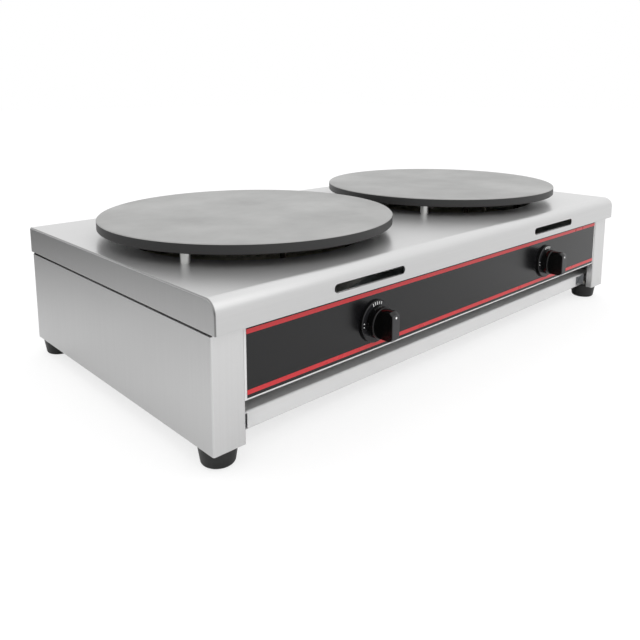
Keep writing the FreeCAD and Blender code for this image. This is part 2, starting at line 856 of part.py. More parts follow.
def element_clamp(x):
    """Three-armed strap that presses the element to the plate."""
    arms = []
    for angle in leg_angles:
        arm = block(0, clamp_reach, -clamp_width / 2, clamp_width / 2, clamp_under, clamp_top)
        arm.rotate(point(0, 0, 0), AXIS_Z, angle)
        arm.translate(point(x, 0, 0))
        arms.append(arm)
    hole = rod(x, 0, clamp_under - 1, clamp_bolt_radius + hole_clearance, clamp_thickness + 2)
    return join(arms).cut(hole)


def clamp_bolts():
    bolts = []
    for side, x in plate_centres():
        head = hexagon(x, 0, clamp_under - clamp_bolt_head, clamp_bolt_flats, clamp_bolt_head)
        shank = rod(x, 0, clamp_under, clamp_bolt_radius, clamp_thickness + clamp_bolt_grip)
        bolts.append(join([head, shank]))
    return Part.makeCompound(bolts)


def through_holes(x, bottom, height):
    """Cutters for what passes down through the bowl's floor and its pad."""
    cuts = [rod(px, py, bottom, element_radius + tail_clearance, height) for px, py in tail_places(x)]
    drop_x, drop_y = capillary_drop(x)
    cuts.append(rod(drop_x, drop_y, bottom, capillary_radius + tail_clearance, height))
    return cuts


def heat_shield(x):
    """Spun bowl that hangs under the cover on the leg bolts."""
    outer = revolved([(0, bowl_floor), (bowl_wall, bowl_floor), (bowl_wall, cover_under - bowl_sheet),
                      (bowl_flange, cover_under - bowl_sheet), (bowl_flange, cover_under),
                      (bowl_wall - bowl_sheet, cover_under),
                      (bowl_wall - bowl_sheet, bowl_floor + bowl_sheet), (0, bowl_floor + bowl_sheet)],
                     point(x, 0, 0), AXIS_Z)
    cuts = through_holes(x, bowl_floor - 1, bowl_sheet + 2)
    for leg_x, leg_y in leg_places(x):
        cuts.append(rod(leg_x, leg_y, cover_under - 2 * bowl_sheet,
                        leg_bolt_radius + hole_clearance, 3 * bowl_sheet))
    return outer.cut(cuts)


def insulation_pad(x):
    pad = rod(x, 0, bowl_floor + bowl_sheet, pad_radius, pad_thickness)
    return pad.cut(through_holes(x, bowl_floor, pad_thickness + 2 * bowl_sheet))


def capillary_drop(x):
    return x - bulb_length / 2 - capillary_bend * 2, -bulb_circle


def sensing_bulb(x, knob_x):
    """Bulb under the plate with its capillary down through the bowl to the thermostat."""
    z = plate_under - bulb_radius
    low = knob_z + capillary_entry
    drop_x, drop_y = capillary_drop(x)
    bulb = rod(x - bulb_length / 2, -bulb_circle, z, bulb_radius, bulb_length, AXIS_X)
    rear = fascia_back + thermostat_plate + thermostat_depth
    route = [point(x - bulb_length / 2 + 1, drop_y, z), point(drop_x, drop_y, z),
             point(drop_x, drop_y, low), point(knob_x, drop_y, low), point(knob_x, rear, low)]
    return join([bulb, tube(route, capillary_radius, capillary_bend)])


def cutout_centre(x):
    return x - cutout_place, cutout_place


def cutout(x):
    """Limit thermostat under the bowl's floor, with two blades pointing down."""
    centre_x, centre_y = cutout_centre(x)
    parts = [rod(centre_x, centre_y, bowl_floor - cutout_height, cutout_radius, cutout_height)]
    for blade_x in (centre_x - cutout_half_pitch, centre_x + cutout_half_pitch):
        low = bowl_floor - cutout_height - cutout_blade
        parts.append(block(blade_x - spade_thickness / 2, blade_x + spade_thickness / 2,
                           centre_y - spade_width / 2, centre_y + spade_width / 2,
                           low, bowl_floor - cutout_height + 1))
    return join(parts)


def foot_places():
    return {"front_left_foot": (-foot_x, front_foot_y), "front_right_foot": (foot_x, front_foot_y),
            "back_left_foot": (-foot_x, back_foot_y), "back_right_foot": (foot_x, back_foot_y)}


def foot(x, y):
    """Tapered rubber foot, hollow below for its screw head."""
    hole = foot_screw_radius + hole_clearance
    body = revolved([(0, 0), (foot_low_radius, 0), (foot_top_radius, panel_bottom),
                     (0, panel_bottom)], point(x, y, 0), AXIS_Z)
    rounded = body.makeFillet(foot_edge, ring_edges(body, foot_low_radius))
    return rounded.cut([rod(x, y, -1, foot_recess_radius, foot_recess + 1),
                        rod(x, y, -1, hole, panel_bottom + 2)])


def nut_seat(y):
    """Top of the sheets under a foot's nut: the flange, and at the back the base as well."""
    return floor_top if y < rail_back else base_top


def foot_screws():
    screws = []
    for x, y in foot_places().values():
        top = nut_seat(y) + foot_nut_height + foot_screw_spare
        head = rod(x, y, foot_recess - foot_screw_head_height, foot_screw_head, foot_screw_head_height)
        screws.append(join([head, rod(x, y, foot_recess, foot_screw_radius, top - foot_recess)]))
    return Part.makeCompound(screws)


def foot_nuts():
    nuts = []
    for x, y in foot_places().values():
        nut = hexagon(x, y, nut_seat(y), foot_nut_flats, foot_nut_height)
        nuts.append(nut.cut(rod(x, y, nut_seat(y) - 1, foot_screw_radius + thread_clearance,
                                foot_nut_height + 2)))
    return Part.makeCompound(nuts)


def base_screw_places():
    x = side_outer - bottom_flange / 2
    return [(side * x, end * base_screw_half_pitch) for side in (-1, 1) for end in (-1, 1)]


def base_panel():
    """Tray that closes the bottom, folded up at the rail and at the back."""
    half = side_inner - panel_bend
    back = back_face - panel_sheet
    path = [(rail_back, floor_top + base_front_flange), (rail_back, floor_top),
            (back, floor_top), (back, floor_top + base_back_flange)]
    tray = folded(path, panel_sheet, panel_bend, across(-half), AXIS_X * (2 * half))
    cuts = []
    for x in (-foot_x, foot_x):
        cuts.append(rod(x, back_foot_y, floor_top - 1, foot_screw_radius + hole_clearance, 3))
    for x, y in base_screw_places():
        cuts.append(rod(x, y, floor_top - 1, small_screw_radius + thread_clearance, 3))
    for side, x in plate_centres():
        for row in range(vent_count):
            cut_x = x + (row - (vent_count - 1) / 2) * vent_step
            cuts.append(block(cut_x - vent_width / 2, cut_x + vent_width / 2,
                              base_vent_y - vent_height / 2, base_vent_y + vent_height / 2,
                              floor_top - 1, base_top + 1))
    return tray.cut(cuts)


def back_screw_places():
    """The right-hand column of back panel screws, as (x, z)."""
    x = side_outer - back_return / 2
    low = panel_bottom + back_return
    high = shoulder - back_return
    return [(x, low), (x, (low + high) / 2), (x, high)]


def back_panel():
    """Flat back sheet with two groups of air slots, a gland hole and a stud hole."""
    half = side_outer - back_panel_margin
    sheet = block(-half, half, back_face, back_outer, panel_bottom + back_panel_margin,
                  cover_under - back_panel_top_gap)
    cuts = [rod(gland_x, back_face - 1, gland_z, gland_thread + hole_clearance, 4, AXIS_Y),
            rod(bonding_x, back_face - 1, gland_z, bonding_core_radius + hole_clearance, 4, AXIS_Y)]
    for x, z in back_screw_places():
        for side in (-1, 1):
            radius = small_screw_radius + hole_clearance
            cuts.append(rod(side * x, back_face - 1, z, radius, 4, AXIS_Y))
    for side, x in plate_centres():
        for row in range(vent_count):
            cut_x = x + (row - (vent_count - 1) / 2) * vent_step
            cuts.append(block(cut_x - vent_width / 2, cut_x + vent_width / 2, back_face - 1,
                              back_outer + 1, vent_z - vent_height / 2, vent_z + vent_height / 2))
    return sheet.cut(cuts)


def small_screw(x, y, z, length, axis):
    """Screw whose head sits outside a point, with its shank along the axis."""
    head = rod(x, y, z, small_screw_head, small_screw_head_height, -axis)
    return join([head, rod(x, y, z, small_screw_radius, length, axis)])


def panel_screws():
    """Screws of the back panel into the side returns, and of the base from below."""
    length = 2 * panel_sheet + small_screw_grip
    screws = [small_screw(side * x, back_outer, z, length, -AXIS_Y)
              for x, z in back_screw_places() for side in (-1, 1)]
    screws += [small_screw(x, y, panel_bottom, length, AXIS_Z) for x, y in base_screw_places()]
    return Part.makeCompound(screws)


def gland_lock_nut():
    nut = hexagon(gland_x, back_face, gland_z, gland_nut_flats, gland_lock_nut_height, -AXIS_Y)
    return nut.cut(rod(gland_x, back_face + 1, gland_z, gland_thread + thread_clearance,
                       gland_lock_nut_height + 2, -AXIS_Y))


def bonding_stud():
    """Stepped stud through the back panel: thick inside its nuts, thin outside for a ring terminal."""
    inner = back_face - bonding_inside
    free = back_outer + bonding_nut
    core = rod(bonding_x, inner, gland_z, bonding_core_radius, free - inner, AXIS_Y)
    end = rod(bonding_x, free, gland_z, bonding_radius, bonding_outside - bonding_nut, AXIS_Y)
    return join([core, end])


def bonding_nuts():
    """One nut on each side of the back panel."""
    nuts = []
    for start, axis in ((back_outer, AXIS_Y), (back_face, -AXIS_Y)):
        nut = hexagon(bonding_x, start, gland_z, bonding_nut_flats, bonding_nut, axis)
        hole = rod(bonding_x, back_face - bonding_nut - 1, gland_z,
                   bonding_core_radius + thread_clearance, 3 * bonding_nut, AXIS_Y)
        nuts.append(nut.cut(hole))
    return Part.makeCompound(nuts)


def block_ways():
    return [gland_x + (way - (block_way_count - 1) / 2) * block_step for way in range(block_way_count)]


def block_entry():
    return block_y - block_width / 2, base_top + block_height / 2


def terminal_block():
    """Row of ways moulded as one block, each open to the front and to the back."""
    half = block_way_count * block_step / 2
    body = block(gland_x - half, gland_x + half, block_y - block_width / 2, block_y + block_width / 2,
                 base_top, base_top + block_height)
    front, z = block_entry()
    depth = block_width / 3
    cuts = []
    for x in block_ways():
        cuts.append(rod(x, front, z, block_way_radius, depth, AXIS_Y))
        cuts.append(rod(x, front + block_width - depth, z, block_way_radius, depth, AXIS_Y))
        cuts.append(rod(x, block_y, base_top + block_height - depth, block_screw_radius, depth))
    return body.cut(cuts)


def terminal_screws():
    screws = []
    depth = block_width / 3
    for x in block_ways():
        screws.append(rod(x, block_y, base_top + block_height - depth,
                          block_screw_radius - thread_clearance, depth - 1))
    return Part.makeCompound(screws)


def spade_end(knob_x, side):
    rear = fascia_back + thermostat_plate + thermostat_depth
    return point(knob_x + side * spade_half_pitch, rear + spade_length, knob_z)


def pin_end(place):
    return point(place[0], place[1], tail_end - terminal_length)


def blade_end(x, side):
    centre_x, centre_y = cutout_centre(x)
    return point(centre_x + side * cutout_half_pitch, centre_y, bowl_floor - cutout_height - cutout_blade)


def lead(stops):
    return tube([point(*stop) for stop in stops], lead_radius, lead_bend)


def leads(x, knob_x, ways, supply_y, return_y):
    """Four leads of one plate: supply, thermostat to cutout, cutout to element, and return."""
    front, z = block_entry()
    first_way, second_way = ways
    live = spade_end(knob_x, -1)
    switched = spade_end(knob_x, 1)
    outer_pin, inner_pin = [pin_end(place) for place in tail_places(x)]
    near_blade = blade_end(x, -1)
    far_blade = blade_end(x, 1)
    low = far_blade.z - 2 * lead_bend - lead_drop
    supply = lead([(first_way, front, z), (first_way, supply_y, z), (live.x, supply_y, z),
                   (live.x, supply_y, live.z), (live.x, live.y, live.z)])
    to_cutout = lead([(switched.x, switched.y, switched.z), (switched.x, lead_link_y, switched.z),
                      (near_blade.x, lead_link_y, switched.z),
                      (near_blade.x, near_blade.y, switched.z),
                      (near_blade.x, near_blade.y, near_blade.z)])
    to_element = lead([(far_blade.x, far_blade.y, far_blade.z), (far_blade.x, far_blade.y, low),
                       (outer_pin.x, far_blade.y, low), (outer_pin.x, outer_pin.y, low),
                       (outer_pin.x, outer_pin.y, outer_pin.z)])
    back_stops = [(second_way, front, z), (second_way, return_y, z), (inner_pin.x, return_y, z)]
    if return_y > inner_pin.y + lead_bend:
        back_stops.append((inner_pin.x, inner_pin.y, z))
    back_stops.append((inner_pin.x, inner_pin.y, inner_pin.z))
    return Part.makeCompound([supply, to_cutout, to_element, lead(back_stops)])


def left_leads():
    ways = block_ways()
    inner_pin_y = tail_places(-plate_half_pitch)[1][1]
    return leads(-plate_half_pitch, left_knob_x, (ways[0], ways[2]), lead_front_y, inner_pin_y)


def right_leads():
    ways = block_ways()
    return leads(plate_half_pitch, right_knob_x, (ways[1], ways[3]), lead_front_y + lead_step,
                 lead_return_y)


def earth_lead():
    front, z = block_entry()
    way = block_ways()[4]
    turn_y = front - 3 * lead_bend
    return lead([(way, front, z), (way, turn_y, z), (bonding_x, turn_y, z),
                 (bonding_x, turn_y, gland_z), (bonding_x, back_face - bonding_inside, gland_z)])


def fascia_rivets():
    rivets = []
    inner = post_inner - sheet_gap - panel_sheet
    length = 2 * panel_sheet + sheet_gap
    for side in (-1, 1):
        outward = AXIS_X * side
        for z in rivet_heights():
            shank = rod(side * inner, rivet_y(), z, rivet_radius, length, outward)
            inner_head = rod(side * inner, rivet_y(), z, rivet_head, rivet_head_height, -outward)
            outer_head = rod(side * (inner + length), rivet_y(), z, rivet_head, rivet_head_height,
                             outward)
            rivets.append(join([shank, inner_head, outer_head]))
    return Part.makeCompound(rivets)


def cover_fixings():
    """Studs welded under the cover, with their nuts below the rest flanges."""
    fixings = []
    for x, y in stud_places():
        top = cover_under - panel_sheet
        fixings.append(rod(x, y, cover_under - stud_length, stud_radius, stud_length))
        nut = hexagon(x, y, top - stud_nut, stud_nut_flats, stud_nut)
        hole = rod(x, y, top - stud_nut - 1, stud_radius + thread_clearance, stud_nut + 2)
        fixings.append(nut.cut(hole))
    return Part.makeCompound(fixings)


def gland():
    """Cable gland in the back panel: domed nut outside, thread and lock nut inside."""
    nut = hexagon(gland_x, back_outer, gland_z, gland_nut_flats, gland_nut, AXIS_Y)
    dome_length = gland_outside - gland_nut
    dome = revolved([(0, 0), (gland_body, 0), (gland_body, dome_length - 2),
                     (gland_body - 2, dome_length), (0, dome_length)],
                    point(gland_x, back_outer + gland_nut, gland_z), AXIS_Y)
    thread = rod(gland_x, back_outer - gland_inside, gland_z, gland_thread, gland_inside, AXIS_Y)
    body = join([nut, dome, thread])
    bore = rod(gland_x, back_outer - gland_inside - 1, gland_z, gland_bore,
               gland_outside + gland_inside + 2, AXIS_Y)
    return body.cut(bore)


def build():
    """Every piece of the machine by its name."""
    right_side = side_panel()
    right_bracket = corner_bracket()
    pieces = {
        "top_cover": top_cover(),
        "right_side_panel": right_side,
        "left_side_panel": mirrored(right_side),
        "back_panel": back_panel(),
        "base_panel": base_panel(),
        "front_rail": front_rail(),
        "front_corner_brackets": Part.makeCompound([right_bracket, mirrored(right_bracket)]),
        "fascia_panel": fascia_panel(),
        "fascia_overlay": fascia_overlay(),
        "overlay_stripes": overlay_stripes(),
        "dial_marks": dial_marks(),
        "thermostat_screws": thermostat_screws(),
        "plate_leg_bolts": leg_bolts(),
        "plate_leg_washers": leg_washers(),
        "element_clamp_bolts": clamp_bolts(),
        "foot_screws": foot_screws(),
        "foot_nuts": foot_nuts(),
        "panel_screws": panel_screws(),
        "cable_gland": gland(),
        "gland_lock_nut": gland_lock_nut(),
        "bonding_stud": bonding_stud(),
        "bonding_nuts": bonding_nuts(),
        "terminal_block": terminal_block(),
        "terminal_screws": terminal_screws(),
        "earth_lead": earth_lead(),
        "left_leads": left_leads(),
        "right_leads": right_leads(),
        "fascia_rivets": fascia_rivets(),
        "cover_fixings": cover_fixings(),
    }
    for side, x in plate_centres():
        pieces[side + "_hot_plate"] = hot_plate(x)
        pieces[side + "_plate_legs"] = plate_legs(x)
        pieces[side + "_heating_element"] = heating_element(x)
        pieces[side + "_element_clamp"] = element_clamp(x)
        pieces[side + "_heat_shield"] = heat_shield(x)
        pieces[side + "_insulation_pad"] = insulation_pad(x)
        pieces[side + "_limit_cutout"] = cutout(x)
    for (side, knob_x), (_, x) in zip(knob_places(), plate_centres()):
        pieces[side + "_bezel"] = bezel_with_recesses(knob_x)
        pieces[side + "_knob"] = knob(knob_x)
        pieces[side + "_knob_pointer"] = knob_pointer(knob_x)
        pieces[side + "_thermostat"] = thermostat(knob_x)
        pieces[side + "_thermostat_shaft"] = thermostat_shaft(knob_x)
        pieces[side + "_sensing_bulb"] = sensing_bulb(x, knob_x)
    for name, (x, y) in foot_places().items():
        pieces[name] = foot(x, y)
    return pieces


os.makedirs("parts", exist_ok=True)
for name, shape in build().items():
    shape.exportStep("parts/" + name + ".step")
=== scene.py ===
import math

import bpy
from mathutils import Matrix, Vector


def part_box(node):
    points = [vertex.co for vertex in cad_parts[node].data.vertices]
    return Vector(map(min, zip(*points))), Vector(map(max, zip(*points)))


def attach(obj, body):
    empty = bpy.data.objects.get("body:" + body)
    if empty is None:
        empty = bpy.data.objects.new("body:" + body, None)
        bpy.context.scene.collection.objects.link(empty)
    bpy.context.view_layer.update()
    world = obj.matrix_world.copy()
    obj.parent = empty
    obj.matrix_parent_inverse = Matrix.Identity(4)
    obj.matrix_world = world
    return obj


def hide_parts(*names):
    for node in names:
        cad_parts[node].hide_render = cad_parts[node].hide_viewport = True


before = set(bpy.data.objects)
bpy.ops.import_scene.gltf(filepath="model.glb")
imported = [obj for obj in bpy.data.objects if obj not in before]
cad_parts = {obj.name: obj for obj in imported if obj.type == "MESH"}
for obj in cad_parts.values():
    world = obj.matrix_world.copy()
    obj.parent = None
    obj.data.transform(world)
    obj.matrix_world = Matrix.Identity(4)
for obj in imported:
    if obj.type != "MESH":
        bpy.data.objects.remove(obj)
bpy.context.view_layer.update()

# Camera, at the photograph's viewing angle. It stands at the front left, a little above the plates,
# and looks along the machine; the lens is shifted down so that upright edges stay nearly upright.
camera_place = Vector((-0.7622, -0.7231, 0.3763))
camera_azimuth = math.radians(-43.331)
camera_elevation = math.radians(9.442)
focal_pixels = 658.9
centre_row = 200.0
image_side = 640.0
sensor_width = 36.0

towards_camera = Vector((math.sin(camera_azimuth) * math.cos(camera_elevation),
                         -math.cos(camera_azimuth) * math.cos(camera_elevation),
                         math.sin(camera_elevation)))
camera_data = bpy.data.cameras.new("photo_camera")
camera_data.sensor_width = sensor_width
camera_data.lens = focal_pixels / image_side * sensor_width
camera_data.shift_y = (centre_row - image_side / 2) / image_side
camera_data.clip_start = 0.02
camera_data.clip_end = 40.0
camera = bpy.data.objects.new("photo_camera", camera_data)
camera.location = camera_place
camera.rotation_euler = towards_camera.to_track_quat("Z", "Y").to_euler()
bpy.context.scene.collection.objects.link(camera)
bpy.context.scene.camera = camera


# Floor: a white paper sweep on a light table, so its shadows stay pale. In the steel's reflections it
# is painted darker towards the back left, a painted shade for the side away from the studio's light.
def linear(code):
    """An sRGB hex colour as linear red, green, blue and alpha."""
    channels = [int(code[start:start + 2], 16) / 255 for start in (1, 3, 5)]
    return tuple(c / 12.92 if c <= 0.04045 else ((c + 0.055) / 1.055) ** 2.4 for c in channels) + (1.0,)


def add(tree, kind, sockets=None, **settings):
    """Adds a node: its own settings by name, and its sockets by name or number, linked or as values."""
    made = tree.nodes.new(kind)
    for name, value in settings.items():
        setattr(made, name, value)
    for name, value in (sockets or {}).items():
        if isinstance(value, bpy.types.NodeSocket):
            tree.links.new(value, made.inputs[name])
        else:
            made.inputs[name].default_value = value
    return made


def new_material(name):
    """A material and its node tree, empty as yet."""
    material = bpy.data.materials.new(name)
    material.use_nodes = True
    material.node_tree.nodes.clear()
    return material, material.node_tree


def new_object(name, vertices, faces):
    """A mesh object from its points and faces, put in the scene."""
    mesh = bpy.data.meshes.new(name)
    mesh.from_pydata(vertices, [], faces)
    mesh.update()
    made = bpy.data.objects.new(name, mesh)
    bpy.context.scene.collection.objects.link(made)
    return made


floor_reach = 12.0
floor_drop = 0.0004
paper_white = linear("#f8f8f8")
paper_grain_mm = 2.5  # coarser than paper's own grain, which would not show
paper_grain_shade = 0.985
away_from_light = (-1.0, 0.4, 0.0)
painted_light_fall = {"From Min": 0.5, "From Max": 1.15, "To Min": 0.8, "To Max": 0.2}
lit_from_below = 0.7
light_table_strength = 1.1

floor_corners = [(x * floor_reach, y * floor_reach, -floor_drop)
                 for x, y in ((-1, -1), (1, -1), (1, 1), (-1, 1))]
floor = new_object("studio_floor", floor_corners, [(0, 1, 2, 3)])
paper, tree = new_material("white_paper_sweep")
place = add(tree, "ShaderNodeTexCoord").outputs["Object"]
grain = add(tree, "ShaderNodeTexNoise", {"Vector": place, "Scale": 1000 / paper_grain_mm, "Detail": 2.0})
tint = add(tree, "ShaderNodeMapRange", {"Value": grain.outputs["Fac"], "To Min": paper_grain_shade,
                                        "To Max": 1.0})
away = add(tree, "ShaderNodeVectorMath", {0: place, 1: away_from_light}, operation="DOT_PRODUCT")
fall = add(tree, "ShaderNodeMapRange", {"Value": away.outputs["Value"], **painted_light_fall})
path = add(tree, "ShaderNodeLightPath")
# Painted shade: reflections of the floor see its colour darkened towards the back left.
shade = add(tree, "ShaderNodeMix", {"Factor": path.outputs["Is Glossy Ray"], "A": tint.outputs["Result"],
                                    "B": fall.outputs["Result"]})
colour = add(tree, "ShaderNodeMix", {"Factor": 1.0, "A": paper_white, "B": shade.outputs["Result"]},
             data_type="RGBA", blend_type="MULTIPLY")
lit = add(tree, "ShaderNodeBsdfDiffuse", {"Color": colour.outputs["Result"]})
glow = add(tree, "ShaderNodeEmission", {"Color": colour.outputs["Result"],
                                        "Strength": light_table_strength})
share = add(tree, "ShaderNodeMath", {0: path.outputs["Is Camera Ray"], 1: lit_from_below},
            operation="MULTIPLY")
shader = add(tree, "ShaderNodeMixShader", {"Fac": share.outputs["Value"], 1: lit.outputs["BSDF"],
                                           2: glow.outputs["Emission"]})
add(tree, "ShaderNodeOutputMaterial", {"Surface": shader.outputs["Shader"]})
floor.data.materials.append(paper)

# Studio light: a white dome, dimmer towards the horizon and plain white to the camera, and one broad
# soft box over the front.
dome_rise = {"From Min": 0.05, "From Max": 0.75, "To Min": 0.97, "To Max": 1.34}
backdrop_strength = 1.0
soft_box_place = Vector((0.4, -1.9, 2.1))
soft_box_aim = Vector((0.0, 0.0, 0.1))
soft_box_side = 2.4
soft_box_watts = 8.0

world = bpy.data.worlds.new("studio_dome")
bpy.context.scene.world = world
world.use_nodes = True
tree = world.node_tree
tree.nodes.clear()
sky = add(tree, "ShaderNodeTexCoord").outputs["Generated"]
direction = add(tree, "ShaderNodeSeparateXYZ", {"Vector": sky})
dome = add(tree, "ShaderNodeMapRange", {"Value": direction.outputs["Z"], **dome_rise})
path = add(tree, "ShaderNodeLightPath")
strength = add(tree, "ShaderNodeMix", {"Factor": path.outputs["Is Camera Ray"], "A": dome.outputs["Result"],
                                       "B": backdrop_strength})
background = add(tree, "ShaderNodeBackground", {"Color": linear("#ffffff"),
                                                "Strength": strength.outputs["Result"]})
add(tree, "ShaderNodeOutputWorld", {"Surface": background.outputs["Background"]})

soft_box = bpy.data.lights.new("front_soft_box", "AREA")
soft_box.shape = "SQUARE"
soft_box.size = soft_box_side
soft_box.energy = soft_box_watts
lamp = bpy.data.objects.new("front_soft_box", soft_box)
lamp.location = soft_box_place
lamp.rotation_euler = (soft_box_place - soft_box_aim).to_track_quat("Z", "Y").to_euler()
bpy.context.scene.collection.objects.link(lamp)

scene_view = bpy.context.scene.view_settings
scene_view.view_transform = "Standard"
scene_view.look = "None"

# Cover: one stainless sheet, folded down all round and rolled wide over the front, its corners welded
# and ground flush. The satin strokes run along it, and so they stand upright on the end skirts.
# A face's turn is its normal's x: 0 in front and on top, 1 at the machine's ends.
steel_stroke_mm = 2.2
steel_stroke_length_mm = 150.0
steel_smudge_mm = 125.0
steel_anisotropy = 0.6
noise_span = {"From Min": 0.3, "From Max": 0.7}
end_face_turn = {"From Min": 0.4, "From Max": 0.6}
# Where the painted shade on the folds sets in and fades, by a face's turn.
painted_fold_begins_turn = {"From Min": 0.1, "From Max": 0.3}
painted_fold_ends_turn = {"From Min": 0.8, "From Max": 0.96}
along_x = (1.0, 0.0, 0.0)
upright = (0.0, 0.0, 1.0)


def satin_stainless(name, code, gloss_of, metal_of, lie_of, painted_fold_shade=1.0):
    """Stainless sheet ground with a belt: reflections stay sharp along the strokes and smear across
    them. The real strokes are 0.2 mm apart; they are drawn some ten times coarser, or none would show.
    Roughness, clean metal and stroke direction come in pairs, for the faces along the machine, which
    are duller, and for its ends; the folds between them can carry painted shade, a darker line on the
    bends."""
    material, tree = new_material(name)
    place = add(tree, "ShaderNodeTexCoord").outputs["Object"]
    normal = add(tree, "ShaderNodeNewGeometry").outputs["Normal"]
    facing = add(tree, "ShaderNodeSeparateXYZ", {"Vector": normal})
    turn = add(tree, "ShaderNodeMath", {0: facing.outputs["X"]}, operation="ABSOLUTE").outputs["Value"]
    end_face = add(tree, "ShaderNodeMapRange", {"Value": turn, **end_face_turn}).outputs["Result"]
    stroke_way = add(tree, "ShaderNodeMix", {"Factor": end_face, "A": lie_of[0], "B": lie_of[1]},
                     data_type="VECTOR").outputs["Result"]
    # Painted shade: a darker band on the folds between the top and the end skirts.
    rise = add(tree, "ShaderNodeMapRange", {"Value": turn, **painted_fold_begins_turn, "To Min": 0.0,
                                            "To Max": 1.0 - painted_fold_shade})
    painted_fold_band = add(tree, "ShaderNodeMapRange", {"Value": turn, **painted_fold_ends_turn,
                                            "To Min": rise.outputs["Result"], "To Max": 0.0})
    fine = 1000 / steel_stroke_mm
    long = 1000 / steel_stroke_length_mm
    stretch = add(tree, "ShaderNodeVectorMath", {0: stroke_way, 1: [long - fine] * 3, 2: [fine] * 3},
                  operation="MULTIPLY_ADD")
    drawn = add(tree, "ShaderNodeVectorMath", {0: place, 1: stretch.outputs["Vector"]},
                operation="MULTIPLY")
    strokes = add(tree, "ShaderNodeTexNoise", {"Vector": drawn.outputs["Vector"], "Scale": 1.0,
                                               "Detail": 3.0, "Roughness": 0.6}).outputs["Fac"]
    smudges = add(tree, "ShaderNodeTexNoise", {"Vector": place, "Scale": 1000 / steel_smudge_mm,
                                               "Detail": 3.0, "Roughness": 0.5}).outputs["Fac"]
    shade = add(tree, "ShaderNodeMapRange", {"Value": strokes, **noise_span, "To Min": 0.975,
                                             "To Max": 1.0})
    tone = add(tree, "ShaderNodeMath", {0: shade.outputs["Result"], 1: painted_fold_band.outputs["Result"]},
               operation="SUBTRACT")
    colour = add(tree, "ShaderNodeMix", {"Factor": 1.0, "A": linear(code), "B": tone.outputs["Value"]},
                 data_type="RGBA", blend_type="MULTIPLY")
    even = add(tree, "ShaderNodeMix", {"Factor": end_face, "A": gloss_of[0], "B": gloss_of[1]})
    metal = add(tree, "ShaderNodeMix", {"Factor": end_face, "A": metal_of[0], "B": metal_of[1]})
    patchy = add(tree, "ShaderNodeMapRange", {"Value": smudges, **noise_span, "To Min": 0.95,
                                              "To Max": 1.05})
    gloss = add(tree, "ShaderNodeMath", {0: even.outputs["Result"], 1: patchy.outputs["Result"]},
                operation="MULTIPLY")
    bump = add(tree, "ShaderNodeBump", {"Height": strokes, "Strength": 0.02, "Distance": 0.0001})
    across = add(tree, "ShaderNodeVectorMath", {0: normal, 1: stroke_way}, operation="CROSS_PRODUCT")
    shader = add(tree, "ShaderNodeBsdfPrincipled",
                 {"Base Color": colour.outputs["Result"], "Metallic": metal.outputs["Result"],
                  "Roughness": gloss.outputs["Value"], "Anisotropic": steel_anisotropy,
                  "Tangent": across.outputs["Vector"], "Normal": bump.outputs["Normal"]})
    add(tree, "ShaderNodeOutputMaterial", {"Surface": shader.outputs["BSDF"]})
    return material


def dress(node, material):
    """Gives every material slot of a CAD node one material."""
    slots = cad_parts[node].data.materials
    for index in range(len(slots)):
        slots[index] = material


# The cover's folds get painted shade, a dark line along the bends to the end skirts.
cover_steel = satin_stainless("satin_stainless_cover", "#c6c6c6", gloss_of=(0.3, 0.3),
                              metal_of=(0.72, 1.0), lie_of=(along_x, upright), painted_fold_shade=0.4)
dress("top_cover", cover_steel)

# Side panels: stainless sheets folded round into the front posts and the back returns. They are cut
# with the strokes upright, so the posts show faint upright streaks.
side_steel = satin_stainless("satin_stainless_sides", "#d0d0d0", gloss_of=(0.3, 0.3),
                             metal_of=(0.7, 1.0), lie_of=(upright, upright))
dress("left_side_panel", side_steel)
dress("right_side_panel", side_steel)

# Front rail and fascia plate: the same stainless, left in the milky finish of the mill, which scatters
# more light than the ground sheets and keeps the rail's ledge grey under the dark film.
milky_steel = satin_stainless("mill_finished_stainless", "#d6d6d6", gloss_of=(0.46, 0.46),
                              metal_of=(0.05, 0.05), lie_of=(along_x, upright))
dress("fascia_panel", milky_steel)
dress("front_rail", milky_steel)


# Back panel, base tray and the brackets behind the rail: mild steel sheet, hot-dip galvanised, cut and
# folded, and left bare. Its spangles are about 9 mm wide.
def galvanised(name, code, spangle_mm):
    """Zinc that froze in flat crystals: grey, dull, each spangle a little lighter or darker."""
    material, tree = new_material(name)
    place = add(tree, "ShaderNodeTexCoord").outputs["Object"]
    spangle = add(tree, "ShaderNodeTexVoronoi", {"Vector": place, "Scale": 1000 / spangle_mm,
                                                 "Randomness": 1.0}, feature="F1")
    tone = add(tree, "ShaderNodeSeparateColor", {"Color": spangle.outputs["Color"]})
    shade = add(tree, "ShaderNodeMapRange", {"Value": tone.outputs["Red"], "To Min": 0.88, "To Max": 1.0})
    colour = add(tree, "ShaderNodeMix", {"Factor": 1.0, "A": linear(code), "B": shade.outputs["Result"]},
                 data_type="RGBA", blend_type="MULTIPLY")
    gloss = add(tree, "ShaderNodeMapRange", {"Value": tone.outputs["Green"], "To Min": 0.38, "To Max": 0.5})
    cloud = add(tree, "ShaderNodeTexNoise", {"Vector": place, "Scale": 1000 / spangle_mm, "Detail": 3.0})
    bump = add(tree, "ShaderNodeBump", {"Height": cloud.outputs["Fac"], "Strength": 0.05,
                                        "Distance": 0.0002})
    shader = add(tree, "ShaderNodeBsdfPrincipled",
                 {"Base Color": colour.outputs["Result"], "Metallic": 0.5,
                  "Roughness": gloss.outputs["Result"], "Normal": bump.outputs["Normal"]})
    add(tree, "ShaderNodeOutputMaterial", {"Surface": shader.outputs["BSDF"]})
    return material


zinc_sheet = galvanised("hot_dip_galvanised_sheet", "#b4b7ba", 9.0)
for sheet in ("back_panel", "base_panel", "front_corner_brackets"):
    dress(sheet, zinc_sheet)

